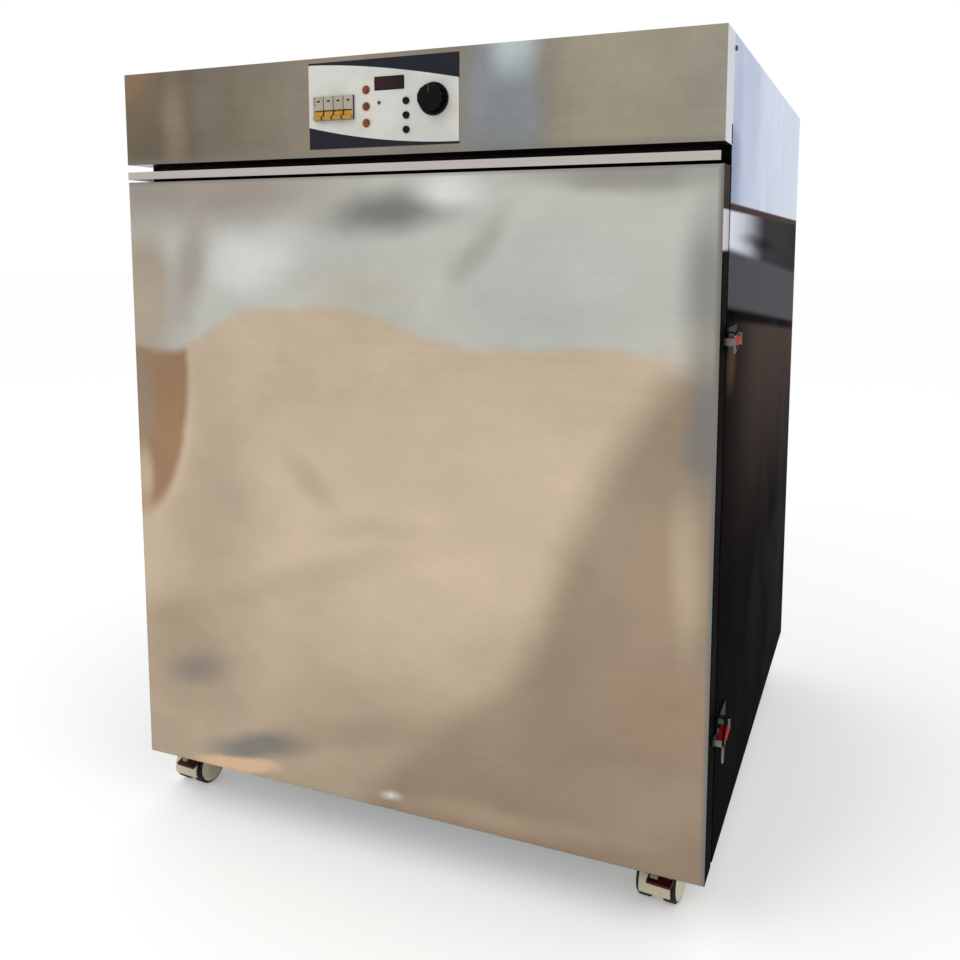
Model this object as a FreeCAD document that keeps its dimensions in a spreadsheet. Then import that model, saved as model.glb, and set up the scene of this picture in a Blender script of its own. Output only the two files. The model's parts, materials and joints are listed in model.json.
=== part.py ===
"""Dry heat sterilizer: a stainless cabinet oven on casters, with a side-hinged front door.

Millimetres. +Z is up, the front faces -Y, and the origin lies on the floor under the middle of the
whole object. SIZES holds what can be set by itself, PLACES what follows from it.
"""
import FreeCAD
import Part
import Sketcher
import math
import os
import re

# Driving sizes
SIZES = {
    # cabinet
    "cabinet_width": 1000,
    "body_depth": 965,
    "body_clearance": 95,
    "door_height": 1022,
    "door_gap": 4.5,
    "deflector_height": 12.5,
    "deflector_gap": 12,
    "deflector_end_gap": 5,
    "fascia_height": 149.5,
    "fascia_slit": 9,
    "fascia_slit_height": 28,
    "sheet": 1.2,
    "return_width": 20,
    "cover_flange": 30,
    "insulation": 75,
    "frame_tube": 40,
    "tube_wall": 2,
    "slack": 0.3,
    "running_fit": 0.05,
    # door
    "door_thickness": 52,
    "door_bend_radius": 1.5,
    "seam_gap": 10,
    "door_land": 68,
    "plug_clearance": 8,
    "plug_depth": 12,
    "gasket_width": 16,
    "gasket_inset": 4,
    # door hinges
    "knuckle_radius": 6,
    "hinge_pin_radius": 3,
    "hinge_height": 90,
    "hinge_leaf_width": 34,
    "hinge_leaf_thickness": 2.5,
    "hinge_inset": 150,
    # chamber
    "motor_bay_depth": 101.4,
    "plenum_depth": 70,
    "intake_hole_radius": 9,
    "intake_pitch": 24,
    "side_slot_width": 8,
    "side_slot_height": 560,
    "side_slot_inset": 40,
    "side_slot_pitch": 18,
    "support_leg": 16,
    "support_thickness": 2,
    "shelf_bar_height": 12,
    "shelf_bar_thickness": 4,
    "shelf_wire_radius": 2,
    "shelf_side_gap": 4,
    # fan, heater and probe
    "fan_radius": 85,
    "fan_disc_thickness": 2,
    "fan_blade_depth": 40,
    "fan_blade_length": 40,
    "fan_blade_thickness": 2,
    "fan_hub_radius": 16,
    "fan_back_gap": 10,
    "shaft_radius": 6,
    "shaft_hole_margin": 4,
    "motor_radius": 55,
    "motor_length": 72,
    "motor_bore_depth": 40,
    "motor_plate": 150,
    "motor_plate_thickness": 3,
    "motor_post_radius": 6,
    "heater_ring_radius": 120,
    "heater_tube_radius": 4.2,
    "heater_leg_radius": 5.4,
    "heater_leg_spread": 60,
    "heater_leg_reach": 20,
    "heater_collar_radius": 9,
    "heater_collar_thickness": 3,
    "probe_radius": 3,
    "probe_length": 90,
    "probe_offset": 150,
    "probe_setback": 12,
    "probe_clearance": 24,
    "probe_head_radius": 9,
    "probe_head_height": 12,
    # control panel
    "overlay_width": 254,
    "overlay_height": 130,
    "overlay_thickness": 1.5,
    "overlay_offset": -8.75,
    "overlay_top_margin": 7.5,
    "panel_fit": 0.3,
    "proud": 3,
    "breaker_x": 45,
    "breaker_z": 61,
    "breaker_width": 70,
    "breaker_window": 36,
    "breaker_block_height": 80,
    "toggle_radius": 6,
    "toggle_reach": 14,
    "toggle_thickness": 4,
    "toggle_width": 13,
    "toggle_swing": 30,
    "toggle_drop": 9,
    "toggle_end_gap": 2,
    "toggle_bar": 4,
    "bracket_thickness": 2,
    "bracket_foot": 30,
    "display_x": 140.5,
    "display_z": 93,
    "display_width": 47,
    "display_height": 17,
    "display_proud": 0.8,
    "lamp_x": 101,
    "lamp_z": 60.5,
    "lamp_pitch": 24.5,
    "lamp_radius": 5.5,
    "lamp_crown": 1.5,
    "led_x": 123,
    "led_z": 65,
    "led_radius": 2.5,
    "button_x": 168.5,
    "button_z": 44.5,
    "button_pitch": 21,
    "button_radius": 5.2,
    "button_edge": 0.6,
    "button_flange": 1.5,
    "button_travel": 1.5,
    "module_standoff": 9,
    "module_depth": 28,
    "module_margin": 9,
    "module_post_radius": 3,
    "knob_x": 214,
    "knob_z": 65.5,
    "knob_radius": 24,
    "knob_skirt": 4,
    "knob_grip_radius": 19,
    "knob_grip_height": 15,
    "knob_edge": 1.5,
    "knob_flute_radius": 2.2,
    "knob_gap": 0.4,
    "spindle_radius": 3,
    "spindle_depth": 14,
    "bush_radius": 5,
    "regulator_radius": 17,
    "regulator_depth": 22,
    # latches
    "latch_height_upper": 783,
    "latch_height_lower": 204,
    "latch_setback": 38,
    "latch_stand": 11,
    "latch_base_length": 74,
    "latch_base_height": 35,
    "latch_base_thickness": 2,
    "latch_base_front": 34,
    "ear_thickness": 1.5,
    "ear_radius": 6,
    "ear_gap": 0.5,
    "lever_barrel_radius": 5,
    "lever_pin_radius": 2.5,
    "lever_thickness": 5,
    "lever_height": 13,
    "lever_neck": 22,
    "grip_length": 42,
    "grip_thickness": 12,
    "grip_round": 3,
    "hook_arm": 14,
    "hook_length": 84,
    "hook_wire_radius": 1.5,
    "hook_rest_angle": 6,
    "strike_height": 14,
    "strike_width": 10,
    "strike_foot": 18,
    "strike_thickness": 2,
    # casters
    "wheel_radius": 34,
    "wheel_width": 22,
    "tyre_thickness": 4.5,
    "tyre_round": 3,
    "axle_radius": 4,
    "caster_core": 17,
    "wheel_side_gap": 0.5,
    "cap_bulge": 2.5,
    "hood_gap": 2.5,
    "hood_thickness": 3,
    "hood_overlap": 16,
    "hood_floor_gap": 24,
    "caster_trail": 20,
    "caster_boss_radius": 13,
    "caster_stem_radius": 5,
    "caster_stem_length": 24,
    "caster_plate": 62,
    "caster_plate_thickness": 3,
    "caster_inset_left": 34,
    "caster_inset_right": 80,
    "caster_inset_front": 52,
    "caster_inset_rear": 48,
    "pedal_width": 38,
    "pedal_offset": 10,
    "pedal_thickness": 5,
    "pedal_length": 14,
    "pedal_pin_radius": 1.5,
    "pedal_lug_width": 12,
    "pedal_lug_reach": 7,
    "pedal_rise": 20,
    "pedal_angle": 12,
    "swivel_front_left": -4,
    "swivel_front_right": -4,
    "swivel_rear_left": 28,
    "swivel_rear_right": -20,
    # fasteners and cable gland
    "screw_head_radius": 3.5,
    "screw_head_height": 2,
    "screw_head_edge": 0.8,
    "screw_shank_radius": 1.8,
    "screw_shank_length": 8,
    "screw_edge": 9,
    "screw_drop": 19,
    "gland_bore_radius": 5,
    "gland_thread_radius": 9,
    "gland_nut_radius": 14,
    "gland_nut_height": 7,
    "gland_dome_radius": 11,
    "gland_reach": 25,
    "gland_inset": 120,
    # overrun of a cutting body past the face that it cuts
    "overrun": 5,
}

# Counts, and shares of the height that they stand at
SHELF_LEVEL_SHARES = {"lower": 0.22, "middle": 0.48, "upper": 0.74}
BACK_SCREW_SHARES = (0.06, 0.35, 0.65, 0.94)
CAP_FLAT_SHARE = 0.55
SHELF_WIRES = 22
FAN_BLADES = 12
KNOB_FLUTES = 12
INTAKE_RINGS = 3
SIDE_SLOTS = 2
BREAKER_POLES = 4

# Places that follow from the sizes
PLACES = {
    # outer planes
    "left_reach": "2 * knuckle_radius",
    "hook_end": "hook_length + hook_wire_radius",
    "hook_reach": "hook_end * sin(hook_rest_angle) + hook_wire_radius * cos(hook_rest_angle)",
    "right_reach": "latch_stand + hook_reach",
    "front_reach": "overlay_thickness + knob_gap + knob_skirt + knob_grip_height",
    "whole_width": "left_reach + cabinet_width + right_reach",
    "whole_depth": "front_reach + door_thickness + seam_gap + body_depth + gland_reach",
    "left": "left_reach - whole_width / 2",
    "right": "left + cabinet_width",
    "mid_x": "left + cabinet_width / 2",
    "front": "front_reach - whole_depth / 2",
    "door_rear": "front + door_thickness",
    "seam": "door_rear + seam_gap",
    "rear": "seam + body_depth",
    "body_bottom": "body_clearance",
    "door_top": "body_bottom + door_height",
    "deflector_bottom": "door_top + door_gap",
    "deflector_top": "deflector_bottom + deflector_height",
    "fascia_bottom": "deflector_top + deflector_gap",
    "body_top": "fascia_bottom + fascia_height",
    # inner planes
    "jamb_rear": "seam + sheet",
    "skin_rear": "rear - sheet",
    "skin_left": "left + sheet",
    "skin_right": "right - sheet",
    "frame_bottom": "body_bottom + sheet",
    "frame_top": "frame_bottom + frame_tube",
    "frame_rear": "skin_rear - sheet",
    # chamber: liner faces are its outside, room faces its inside
    "liner_left": "skin_left + insulation",
    "liner_right": "skin_right - insulation",
    "liner_bottom": "frame_top + insulation",
    "liner_top": "door_top - door_land",
    "wool_rear": "frame_rear - motor_bay_depth",
    "liner_rear": "wool_rear - insulation",
    "room_left": "liner_left + sheet",
    "room_right": "liner_right - sheet",
    "room_bottom": "liner_bottom + sheet",
    "room_top": "liner_top - sheet",
    "room_rear": "liner_rear - sheet",
    "room_width": "room_right - room_left",
    "room_height": "room_top - room_bottom",
    "room_mid_z": "(room_bottom + room_top) / 2",
    "baffle_rear": "room_rear - plenum_depth",
    "baffle_front": "baffle_rear - sheet",
    "deck_bottom": "liner_top + insulation",
    "deck_top": "deck_bottom + sheet",
    "plug_rear": "seam + plug_depth",
    "shelf_front": "plug_rear + shelf_side_gap",
    "shelf_rear": "baffle_front - probe_clearance",
    # control panel
    "overlay_left": "mid_x + overlay_offset - overlay_width / 2",
    "overlay_bottom": "body_top - overlay_top_margin - overlay_height",
    "overlay_front": "front - overlay_thickness",
    "fascia_inner": "front + sheet",
    "module_front": "fascia_inner + module_standoff",
    "breaker_mid_x": "overlay_left + breaker_x",
    "breaker_mid_z": "overlay_bottom + breaker_z",
    "breaker_front": "overlay_front - proud",
    "breaker_shoulder": "fascia_inner + slack",
    "toggle_y": "breaker_front + toggle_radius",
    "toggle_z": "breaker_mid_z - toggle_drop",
    "toggle_hole_radius": "toggle_radius + panel_fit",
    "toggle_length": "breaker_width - 2 * panel_fit - 2 * toggle_end_gap",
    "display_mid_x": "overlay_left + display_x",
    "display_mid_z": "overlay_bottom + display_z",
    "lamp_mid_x": "overlay_left + lamp_x",
    "lamp_mid_z": "overlay_bottom + lamp_z",
    "led_mid_x": "overlay_left + led_x",
    "led_mid_z": "overlay_bottom + led_z",
    "button_mid_x": "overlay_left + button_x",
    "button_mid_z": "overlay_bottom + button_z",
    "button_flange_front": "fascia_inner + slack",
    "button_flange_rear": "button_flange_front + button_flange",
    "button_stem_end": "module_front - slack - button_travel",
    "knob_mid_x": "overlay_left + knob_x",
    "knob_mid_z": "overlay_bottom + knob_z",
    "knob_base": "overlay_front - knob_gap",
    # fan and heater
    "fan_disc_rear": "room_rear - fan_back_gap",
    "fan_disc_front": "fan_disc_rear - fan_disc_thickness",
    "fan_front": "fan_disc_front - fan_blade_depth",
    "motor_plate_rear": "wool_rear + motor_plate_thickness",
    "motor_post_spread": "motor_plate - 4 * motor_post_radius",
    "heater_y": "fan_disc_front - fan_blade_depth / 2",
    "heater_leg_drop": "sqrt(heater_ring_radius ^ 2 - (heater_leg_spread / 2) ^ 2)",
    "heater_leg_z": "room_mid_z - heater_leg_drop",
    "probe_x": "mid_x + probe_offset",
    "probe_y": "baffle_front - probe_setback",
    # door hinge axis
    "hinge_x": "left - knuckle_radius",
    "hinge_y": "door_rear + seam_gap / 2",
    "hinge_low": "body_bottom + hinge_inset",
    "hinge_mid": "body_bottom + door_height / 2",
    "hinge_high": "door_top - hinge_inset",
    # latch pieces, measured from the lever's pivot on the side
    "latch_y": "seam + latch_setback",
    "latch_low": "body_bottom + latch_height_lower",
    "latch_high": "body_bottom + latch_height_upper",
    "ear_inner": "lever_height / 2 + ear_gap",
    "ear_outer": "ear_inner + ear_thickness",
    "hook_spread": "ear_outer + ear_gap + hook_wire_radius",
    "strike_front": "hook_arm - hook_length + hook_wire_radius + slack",
    # caster pieces, measured from the swivel axis on the floor
    "wheel_y": "0 - caster_trail",
    "wheel_inner": "caster_core / 2 + wheel_side_gap",
    "wheel_outer": "wheel_inner + wheel_width",
    "disc_radius": "wheel_radius - tyre_thickness",
    "hood_inner_radius": "wheel_radius + hood_gap",
    "hood_outer_radius": "hood_inner_radius + hood_thickness",
    "hood_half_width": "caster_core / 2 + hood_overlap",
    "boss_top": "body_bottom - caster_plate_thickness - slack",
    "stem_bottom": "body_bottom - caster_plate_thickness - caster_stem_length",
    "pedal_pin_y": "wheel_y - sqrt(hood_outer_radius ^ 2 - pedal_rise ^ 2) - pedal_lug_reach / 2",
    "pedal_pin_z": "wheel_radius + pedal_rise",
    "caster_left": "left + caster_inset_left",
    "caster_right": "right - caster_inset_right",
    "caster_front": "seam + caster_inset_front",
    "caster_rear": "rear - caster_inset_rear",
}

PLANE_ROLES = {"XY": "XY_Plane", "XZ": "XZ_Plane", "YZ": "YZ_Plane"}
X_AXIS = FreeCAD.Vector(1, 0, 0)
Y_AXIS = FreeCAD.Vector(0, 1, 0)
QUARTER_TURN = 90
FULL_TURN = 360
ALONG = {
    "X": FreeCAD.Rotation(Y_AXIS, QUARTER_TURN),
    "-X": FreeCAD.Rotation(Y_AXIS, -QUARTER_TURN),
    "Y": FreeCAD.Rotation(X_AXIS, -QUARTER_TURN),
    "-Y": FreeCAD.Rotation(X_AXIS, QUARTER_TURN),
    "Z": FreeCAD.Rotation(),
}

doc = FreeCAD.newDocument("dry_heat_sterilizer")
nodes = []


# Sheets and expressions

def bound(text):
    """Writes the sheet's name before each size or place that an expression names."""
    def with_sheet(found):
        word = found.group(0)
        if word in SIZES:
            return "sizes." + word
        if word in PLACES:
            return "places." + word
        return word
    return re.sub(r"[A-Za-z_]\w*", with_sheet, text)


def add_sheet(name, cells, written):
    sheet = doc.addObject("Spreadsheet::Sheet", name)
    for row, (alias, value) in enumerate(cells.items(), 1):
        sheet.set(f"A{row}", alias)
        sheet.set(f"B{row}", written(value))
        sheet.setAlias(f"B{row}", alias)
    doc.recompute()
    return sheet


def bind(thing, prop, text):
    thing.setExpression(prop, bound(text))


def put(thing, x="0", y="0", z="0"):
    """Binds a thing's place. Its rotation is set before."""
    for axis, text in zip("xyz", (x, y, z)):
        if text != "0":
            bind(thing, f".Placement.Base.{axis}", text)
    return thing


# Primitives, booleans and groups

def box(name, x_span, y_span, z_span):
    """A block between two expressions along each axis."""
    block = doc.addObject("Part::Box", name)
    for prop, (low, high) in zip(("Length", "Width", "Height"), (x_span, y_span, z_span)):
        bind(block, prop, f"({high}) - ({low})")
    return put(block, x_span[0], y_span[0], z_span[0])


def rod(name, axis, start, length, radius):
    """A cylinder that runs from a start point along an axis."""
    cylinder = doc.addObject("Part::Cylinder", name)
    cylinder.Placement.Rotation = ALONG[axis]
    bind(cylinder, "Height", length)
    bind(cylinder, "Radius", radius)
    return put(cylinder, *start)


def fuse(name, pieces):
    whole = doc.addObject("Part::MultiFuse", name)
    whole.Shapes = pieces
    return whole


def cut(name, base, tools):
    """Takes each tool out of the base in turn. The last cut has the name."""
    for number, tool in enumerate(tools, 1):
        step = doc.addObject("Part::Cut", name if number == len(tools) else f"{name}_cut_{number}")
        step.Base = base
        step.Tool = tool
        base = step
    return base


def group(name, pieces):
    """Separate solids under one name."""
    compound = doc.addObject("Part::Compound", name)
    compound.Links = pieces
    return compound


def copy_of(piece, name, x="0", y="0", z="0", turn="0"):
    """A copy of a piece, moved and turned about Z."""
    copy = group(name, [piece])
    if turn != "0":
        bind(copy, ".Placement.Rotation.Angle", turn)
    return put(copy, x, y, z)


def node(piece, name):
    piece.Label = name
    nodes.append(piece)
    return piece


# Bodies with sketches

def new_body(name):
    return doc.addObject("PartDesign::Body", name)


def new_sketch(body, name, plane):
    sketch = body.newObject("Sketcher::SketchObject", name)
    origin_plane = [f for f in body.Origin.OriginFeatures if f.Role == PLANE_ROLES[plane]][0]
    sketch.AttachmentSupport = [(origin_plane, "")]
    sketch.MapMode = "FlatFace"
    return sketch


def outline(sketch, points):
    """A closed outline whose corners are bound to pairs of expressions."""
    count = len(points)
    first = sketch.GeometryCount
    unit = []
    for index in range(count):
        angle = 2 * math.pi * index / count
        unit.append(FreeCAD.Vector(math.cos(angle), math.sin(angle), 0))
    for index in range(count):
        sketch.addGeometry(Part.LineSegment(unit[index], unit[(index + 1) % count]))
    for index in range(count):
        ends = (first + index, 2, first + (index + 1) % count, 1)
        sketch.addConstraint(Sketcher.Constraint("Coincident", *ends))
    for index, corner in enumerate(points):
        for kind, text, start in zip(("DistanceX", "DistanceY"), corner, unit[index]):
            place = Sketcher.Constraint(kind, -1, 1, first + index, 1, start)
            number = sketch.addConstraint(place)
            bind(sketch, f"Constraints[{number}]", text)


def rectangle(sketch, x_span, y_span):
    corners = [(x_span[0], y_span[0]), (x_span[1], y_span[0])]
    corners += [(x_span[1], y_span[1]), (x_span[0], y_span[1])]
    outline(sketch, corners)


def pad(body, name, plane, draw, length, reverse=False):
    sketch = new_sketch(body, name + "_outline", plane)
    draw(sketch)
    feature = body.newObject("PartDesign::Pad", name)
    feature.Profile = sketch
    feature.Reversed = reverse
    bind(feature, "Length", length)
    return feature


def padded(name, plane, points, length):
    """A body that is one outline pushed along its plane's normal."""
    body = new_body(name)
    pad(body, name + "_pad", plane, lambda sketch: outline(sketch, points), length)
    return body


def turned(name, axis, points):
    """A body turned about an axis from an outline of (radius, height) corners."""
    body = new_body(name)
    sketch = new_sketch(body, name + "_profile", "XZ")
    outline(sketch, points)
    feature = body.newObject("PartDesign::Revolution", name + "_turn")
    feature.Profile = sketch
    feature.ReferenceAxis = (sketch, ["V_Axis"])
    feature.Angle = FULL_TURN
    body.Placement.Rotation = ALONG[axis]
    return body


def rounded(body, name, wanted, radius):
    """Rounds the tip's edges that a test picks."""
    doc.recompute()
    tip = body.Tip
    edges = [f"Edge{i}" for i, edge in enumerate(tip.Shape.Edges, 1) if wanted(edge)]
    feature = body.newObject("PartDesign::Fillet", name)
    feature.Base = (tip, edges)
    bind(feature, "Radius", radius)
    return feature


def runs_along(edge, axis):
    start = edge.Vertexes[0].Point
    end = edge.Vertexes[-1].Point
    return (end - start).normalize().cross(axis).Length < FreeCAD.Base.Precision.angular()


sizes = add_sheet("sizes", SIZES, str)
places = add_sheet("places", PLACES, lambda formula: "=" + bound(formula))


# Cabinet shell

def base_frame():
    """Four square tubes in a ring: two across the width, two between them."""
    def tube(name, axis, x_span, y_span, z_span):
        outer = box(name + "_outer", x_span, y_span, z_span)
        spans = {"X": x_span, "Y": y_span, "Z": z_span}
        for key, (low, high) in spans.items():
            if key != axis:
                spans[key] = (f"{low} + tube_wall", f"{high} - tube_wall")
        bore = box(name + "_bore", spans["X"], spans["Y"], spans["Z"])
        return cut(name, outer, [bore])

    height = ("frame_bottom", "frame_top")
    across = ("skin_left", "skin_right")
    front = tube("front_tube", "X", across, ("jamb_rear", "jamb_rear + frame_tube"), height)
    rear = tube("rear_tube", "X", across, ("frame_rear - frame_tube", "frame_rear"), height)
    between = ("jamb_rear + frame_tube", "frame_rear - frame_tube")
    left = tube("left_tube", "Y", ("skin_left", "skin_left + frame_tube"), between, height)
    right = tube("right_tube", "Y", ("skin_right - frame_tube", "skin_right"), between, height)
    node(group("base_frame", [front, rear, left, right]), "base_frame")


def bottom_pan():
    height = ("body_bottom", "frame_bottom")
    node(box("bottom_pan", ("skin_left", "skin_right"), ("seam", "skin_rear"), height), "bottom_pan")


def side_screw_hole(side):
    start = {"left": "left - overrun", "right": "right - overrun - 2 * sheet"}[side]
    place = (start, "seam + screw_edge", "body_top - screw_drop")
    return rod(f"{side}_screw_hole", "X", place, "2 * overrun + 2 * sheet", "screw_shank_radius + slack")


def back_screw_places():
    """The back panel's screws: a column at each side, at shares of its height."""
    columns = ("left + return_width / 2", "right - return_width / 2")
    heights = [f"body_bottom + {share} * (body_top - body_bottom)" for share in BACK_SCREW_SHARES]
    return [(x, z) for x in columns for z in heights]


def back_screw_holes(name):
    holes = []
    for x, z in back_screw_places():
        start = (x, "frame_rear - overrun", z)
        holes.append(rod(name, "Y", start, "2 * overrun + 2 * sheet", "screw_shank_radius + slack"))
    return group(name + "s", holes)


def side_panel(side):
    """A folded panel: the plate, and a return along its front and its rear edge."""
    plate_span = {"left": ("left", "skin_left"), "right": ("skin_right", "right")}[side]
    folds = {"left": ("skin_left", "left + return_width"), "right": ("right - return_width", "skin_right")}
    fold_span = folds[side]
    plate = box(f"{side}_plate", plate_span, ("seam", "skin_rear"), ("body_bottom", "body_top"))
    inner_height = ("frame_bottom", "body_top - sheet")
    front_fold = box(f"{side}_front_fold", fold_span, ("seam", "jamb_rear"), inner_height)
    rear_fold = box(f"{side}_rear_fold", fold_span, ("frame_rear", "skin_rear"), inner_height)
    folded = fuse(f"{side}_folded", [plate, front_fold, rear_fold])
    holes = [side_screw_hole(side), back_screw_holes(f"{side}_back_hole")]
    node(cut(f"side_panel_{side}", folded, holes), f"side_panel_{side}")


def top_cover():
    """The top plate, with a flange down inside each side panel."""
    thin = ("body_top - sheet", "body_top")
    plate = box("top_plate", ("skin_left", "skin_right"), ("seam", "skin_rear"), thin)
    length = ("jamb_rear", "frame_rear")
    height = ("body_top - cover_flange", "body_top - sheet")
    left = box("top_left_flange", ("skin_left", "skin_left + sheet"), length, height)
    right = box("top_right_flange", ("skin_right - sheet", "skin_right"), length, height)
    folded = fuse("top_folded", [plate, left, right])
    holes = [side_screw_hole("left"), side_screw_hole("right")]
    node(cut("top_cover", folded, holes), "top_cover")


def back_panel():
    plate = box("back_plate", ("left", "right"), ("skin_rear", "rear"), ("body_bottom", "body_top"))
    start = ("left + gland_inset", "skin_rear - overrun", "body_bottom + gland_inset")
    gland = rod("gland_hole", "Y", start, "sheet + 2 * overrun", "gland_thread_radius + slack")
    node(cut("back_panel", plate, [gland, back_screw_holes("back_hole")]), "back_panel")


def front_frame():
    """The jamb round the chamber's mouth, between the side panels' returns."""
    width = ("left + return_width", "right - return_width")
    plate = box("jamb_plate", width, ("seam", "jamb_rear"), ("frame_bottom", "fascia_bottom"))
    mouth = box("jamb_mouth", ("room_left", "room_right"), ("seam - overrun", "jamb_rear + overrun"),
                ("room_bottom", "room_top"))
    node(cut("front_frame", plate, [mouth]), "front_frame")


def motor_post_places():
    half = "motor_post_spread / 2"
    return [(f"mid_x + {i} * {half}", f"room_mid_z + {k} * {half}") for i in (-1, 1) for k in (-1, 1)]


def heater_leg_places():
    return [(f"mid_x + {i} * heater_leg_spread / 2", "heater_leg_z") for i in (-1, 1)]


def chamber_liner():
    """Five welded sheets, open at the front. The back one has holes for the shaft and heater."""
    deep = ("jamb_rear", "liner_rear")
    between = ("room_left", "room_right")
    left = box("liner_left_wall", ("liner_left", "room_left"), deep, ("liner_bottom", "liner_top"))
    right = box("liner_right_wall", ("room_right", "liner_right"), deep, ("liner_bottom", "liner_top"))
    floor = box("liner_base", between, deep, ("liner_bottom", "room_bottom"))
    roof = box("liner_roof_plate", between, deep, ("room_top", "liner_top"))
    ceiling = cut("liner_roof", roof, [probe_hole("liner_probe_hole")])
    back = box("liner_back_plate", between, ("room_rear", "liner_rear"), ("room_bottom", "room_top"))
    start = "room_rear - overrun"
    length = "sheet + 2 * overrun"
    shaft_room = "shaft_radius + shaft_hole_margin"
    holes = [rod("liner_shaft_hole", "Y", ("mid_x", start, "room_mid_z"), length, shaft_room)]
    for x, z in heater_leg_places():
        holes.append(rod("liner_leg_hole", "Y", (x, start, z), length, "heater_leg_radius + slack"))
    walls = [left, right, floor, ceiling, cut("liner_back", back, holes)]
    node(group("chamber_liner", walls), "chamber_liner")


def probe_hole(name):
    height = "deck_top - liner_top + sheet + 2 * overrun"
    return rod(name, "Z", ("probe_x", "probe_y", "room_top - overrun"), height, "probe_radius + slack")


def chamber_insulation():
    """Mineral wool slabs between the liner and the shell."""
    deep = ("jamb_rear", "wool_rear")
    tall = ("frame_top", "deck_bottom")
    between = ("liner_left", "liner_right")
    left = box("wool_left", ("skin_left", "liner_left"), deep, tall)
    right = box("wool_right", ("liner_right", "skin_right"), deep, tall)
    below = box("wool_below", between, deep, ("frame_top", "liner_bottom"))
    above = cut("wool_above", box("wool_above_slab", between, deep, ("liner_top", "deck_bottom")),
                [probe_hole("wool_probe_hole")])
    slab = box("wool_behind_slab", between, ("liner_rear", "wool_rear"), ("liner_bottom", "liner_top"))
    start = "liner_rear - overrun"
    length = "insulation + 2 * overrun"
    shaft_room = "shaft_radius + shaft_hole_margin"
    holes = [rod("wool_shaft_hole", "Y", ("mid_x", start, "room_mid_z"), length, shaft_room)]
    for x, z in motor_post_places():
        holes.append(rod("wool_post_hole", "Y", (x, start, z), length, "motor_post_radius + slack"))
    for x, z in heater_leg_places():
        holes.append(rod("wool_leg_hole", "Y", (x, start, z), length, "heater_leg_radius + slack"))
    behind = cut("wool_behind", slab, holes)
    node(group("chamber_insulation", [left, right, below, above, behind]), "chamber_insulation")


def bay_deck():
    """The floor of the control bay, over the insulation, with the breaker's bracket on it."""
    height = ("deck_bottom", "deck_top")
    plate = box("deck_plate", ("skin_left", "skin_right"), ("jamb_rear", "frame_rear"), height)
    deck = cut("deck", plate, [probe_hole("deck_probe_hole")])
    node(group("bay_deck", [deck, breaker_bracket()]), "bay_deck")


def breaker_bracket():
    """An angle that stands on the deck and carries the breaker from behind."""
    corners = [
        ("jamb_rear", "deck_top"),
        ("jamb_rear + bracket_foot", "deck_top"),
        ("jamb_rear + bracket_foot", "deck_top + bracket_thickness"),
        ("jamb_rear + bracket_thickness", "deck_top + bracket_thickness"),
        ("jamb_rear + bracket_thickness", "breaker_mid_z + breaker_window / 2"),
        ("jamb_rear", "breaker_mid_z + breaker_window / 2"),
    ]
    bracket = padded("breaker_bracket", "YZ", corners, "breaker_width")
    return put(bracket, x="breaker_mid_x - breaker_width / 2")


# Chamber fittings

def baffle_plate():
    """The plate in front of the fan: a round field of intake holes and an outlet slot at each side."""
    plate = box("baffle_sheet", ("room_left", "room_right"), ("baffle_front", "baffle_rear"),
                ("room_bottom", "room_top"))
    start = "baffle_front - overrun"
    length = "sheet + 2 * overrun"
    holes = []
    for ring in range(INTAKE_RINGS + 1):
        count = max(1, 6 * ring)
        for index in range(count):
            angle = FULL_TURN * index / count
            x = f"mid_x + {ring} * intake_pitch * cos({angle})"
            z = f"room_mid_z + {ring} * intake_pitch * sin({angle})"
            holes.append(rod("intake_hole", "Y", (x, start, z), length, "intake_hole_radius"))
    tall = ("room_mid_z - side_slot_height / 2", "room_mid_z + side_slot_height / 2")
    deep = (start, "baffle_rear + overrun")
    for index in range(SIDE_SLOTS):
        shift = f"side_slot_inset + {index} * side_slot_pitch"
        left = (f"room_left + {shift}", f"room_left + {shift} + side_slot_width")
        right = (f"room_right - {shift} - side_slot_width", f"room_right - {shift}")
        holes.append(box("left_outlet_slot", left, deep, tall))
        holes.append(box("right_outlet_slot", right, deep, tall))
    node(cut("baffle_plate", plate, [group("baffle_holes", holes)]), "baffle_plate")


def level_height(share):
    return f"room_bottom + {share} * room_height"


def shelf_supports():
    """An angle on each side wall at each shelf level."""
    angles = []
    for level, share in SHELF_LEVEL_SHARES.items():
        top = level_height(share)
        for side in ("left", "right"):
            wall = {"left": "room_left", "right": "room_right"}[side]
            sign = {"left": "+", "right": "-"}[side]
            corners = [
                (wall, f"{top} - support_leg"),
                (f"{wall} {sign} support_thickness", f"{top} - support_leg"),
                (f"{wall} {sign} support_thickness", f"{top} - support_thickness"),
                (f"{wall} {sign} support_leg", f"{top} - support_thickness"),
                (f"{wall} {sign} support_leg", top),
                (wall, top),
            ]
            angle = padded(f"{side}_{level}_support", "XZ", corners, "shelf_rear - shelf_front")
            angles.append(put(angle, y="shelf_rear"))
    node(group("shelf_supports", angles), "shelf_supports")


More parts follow.
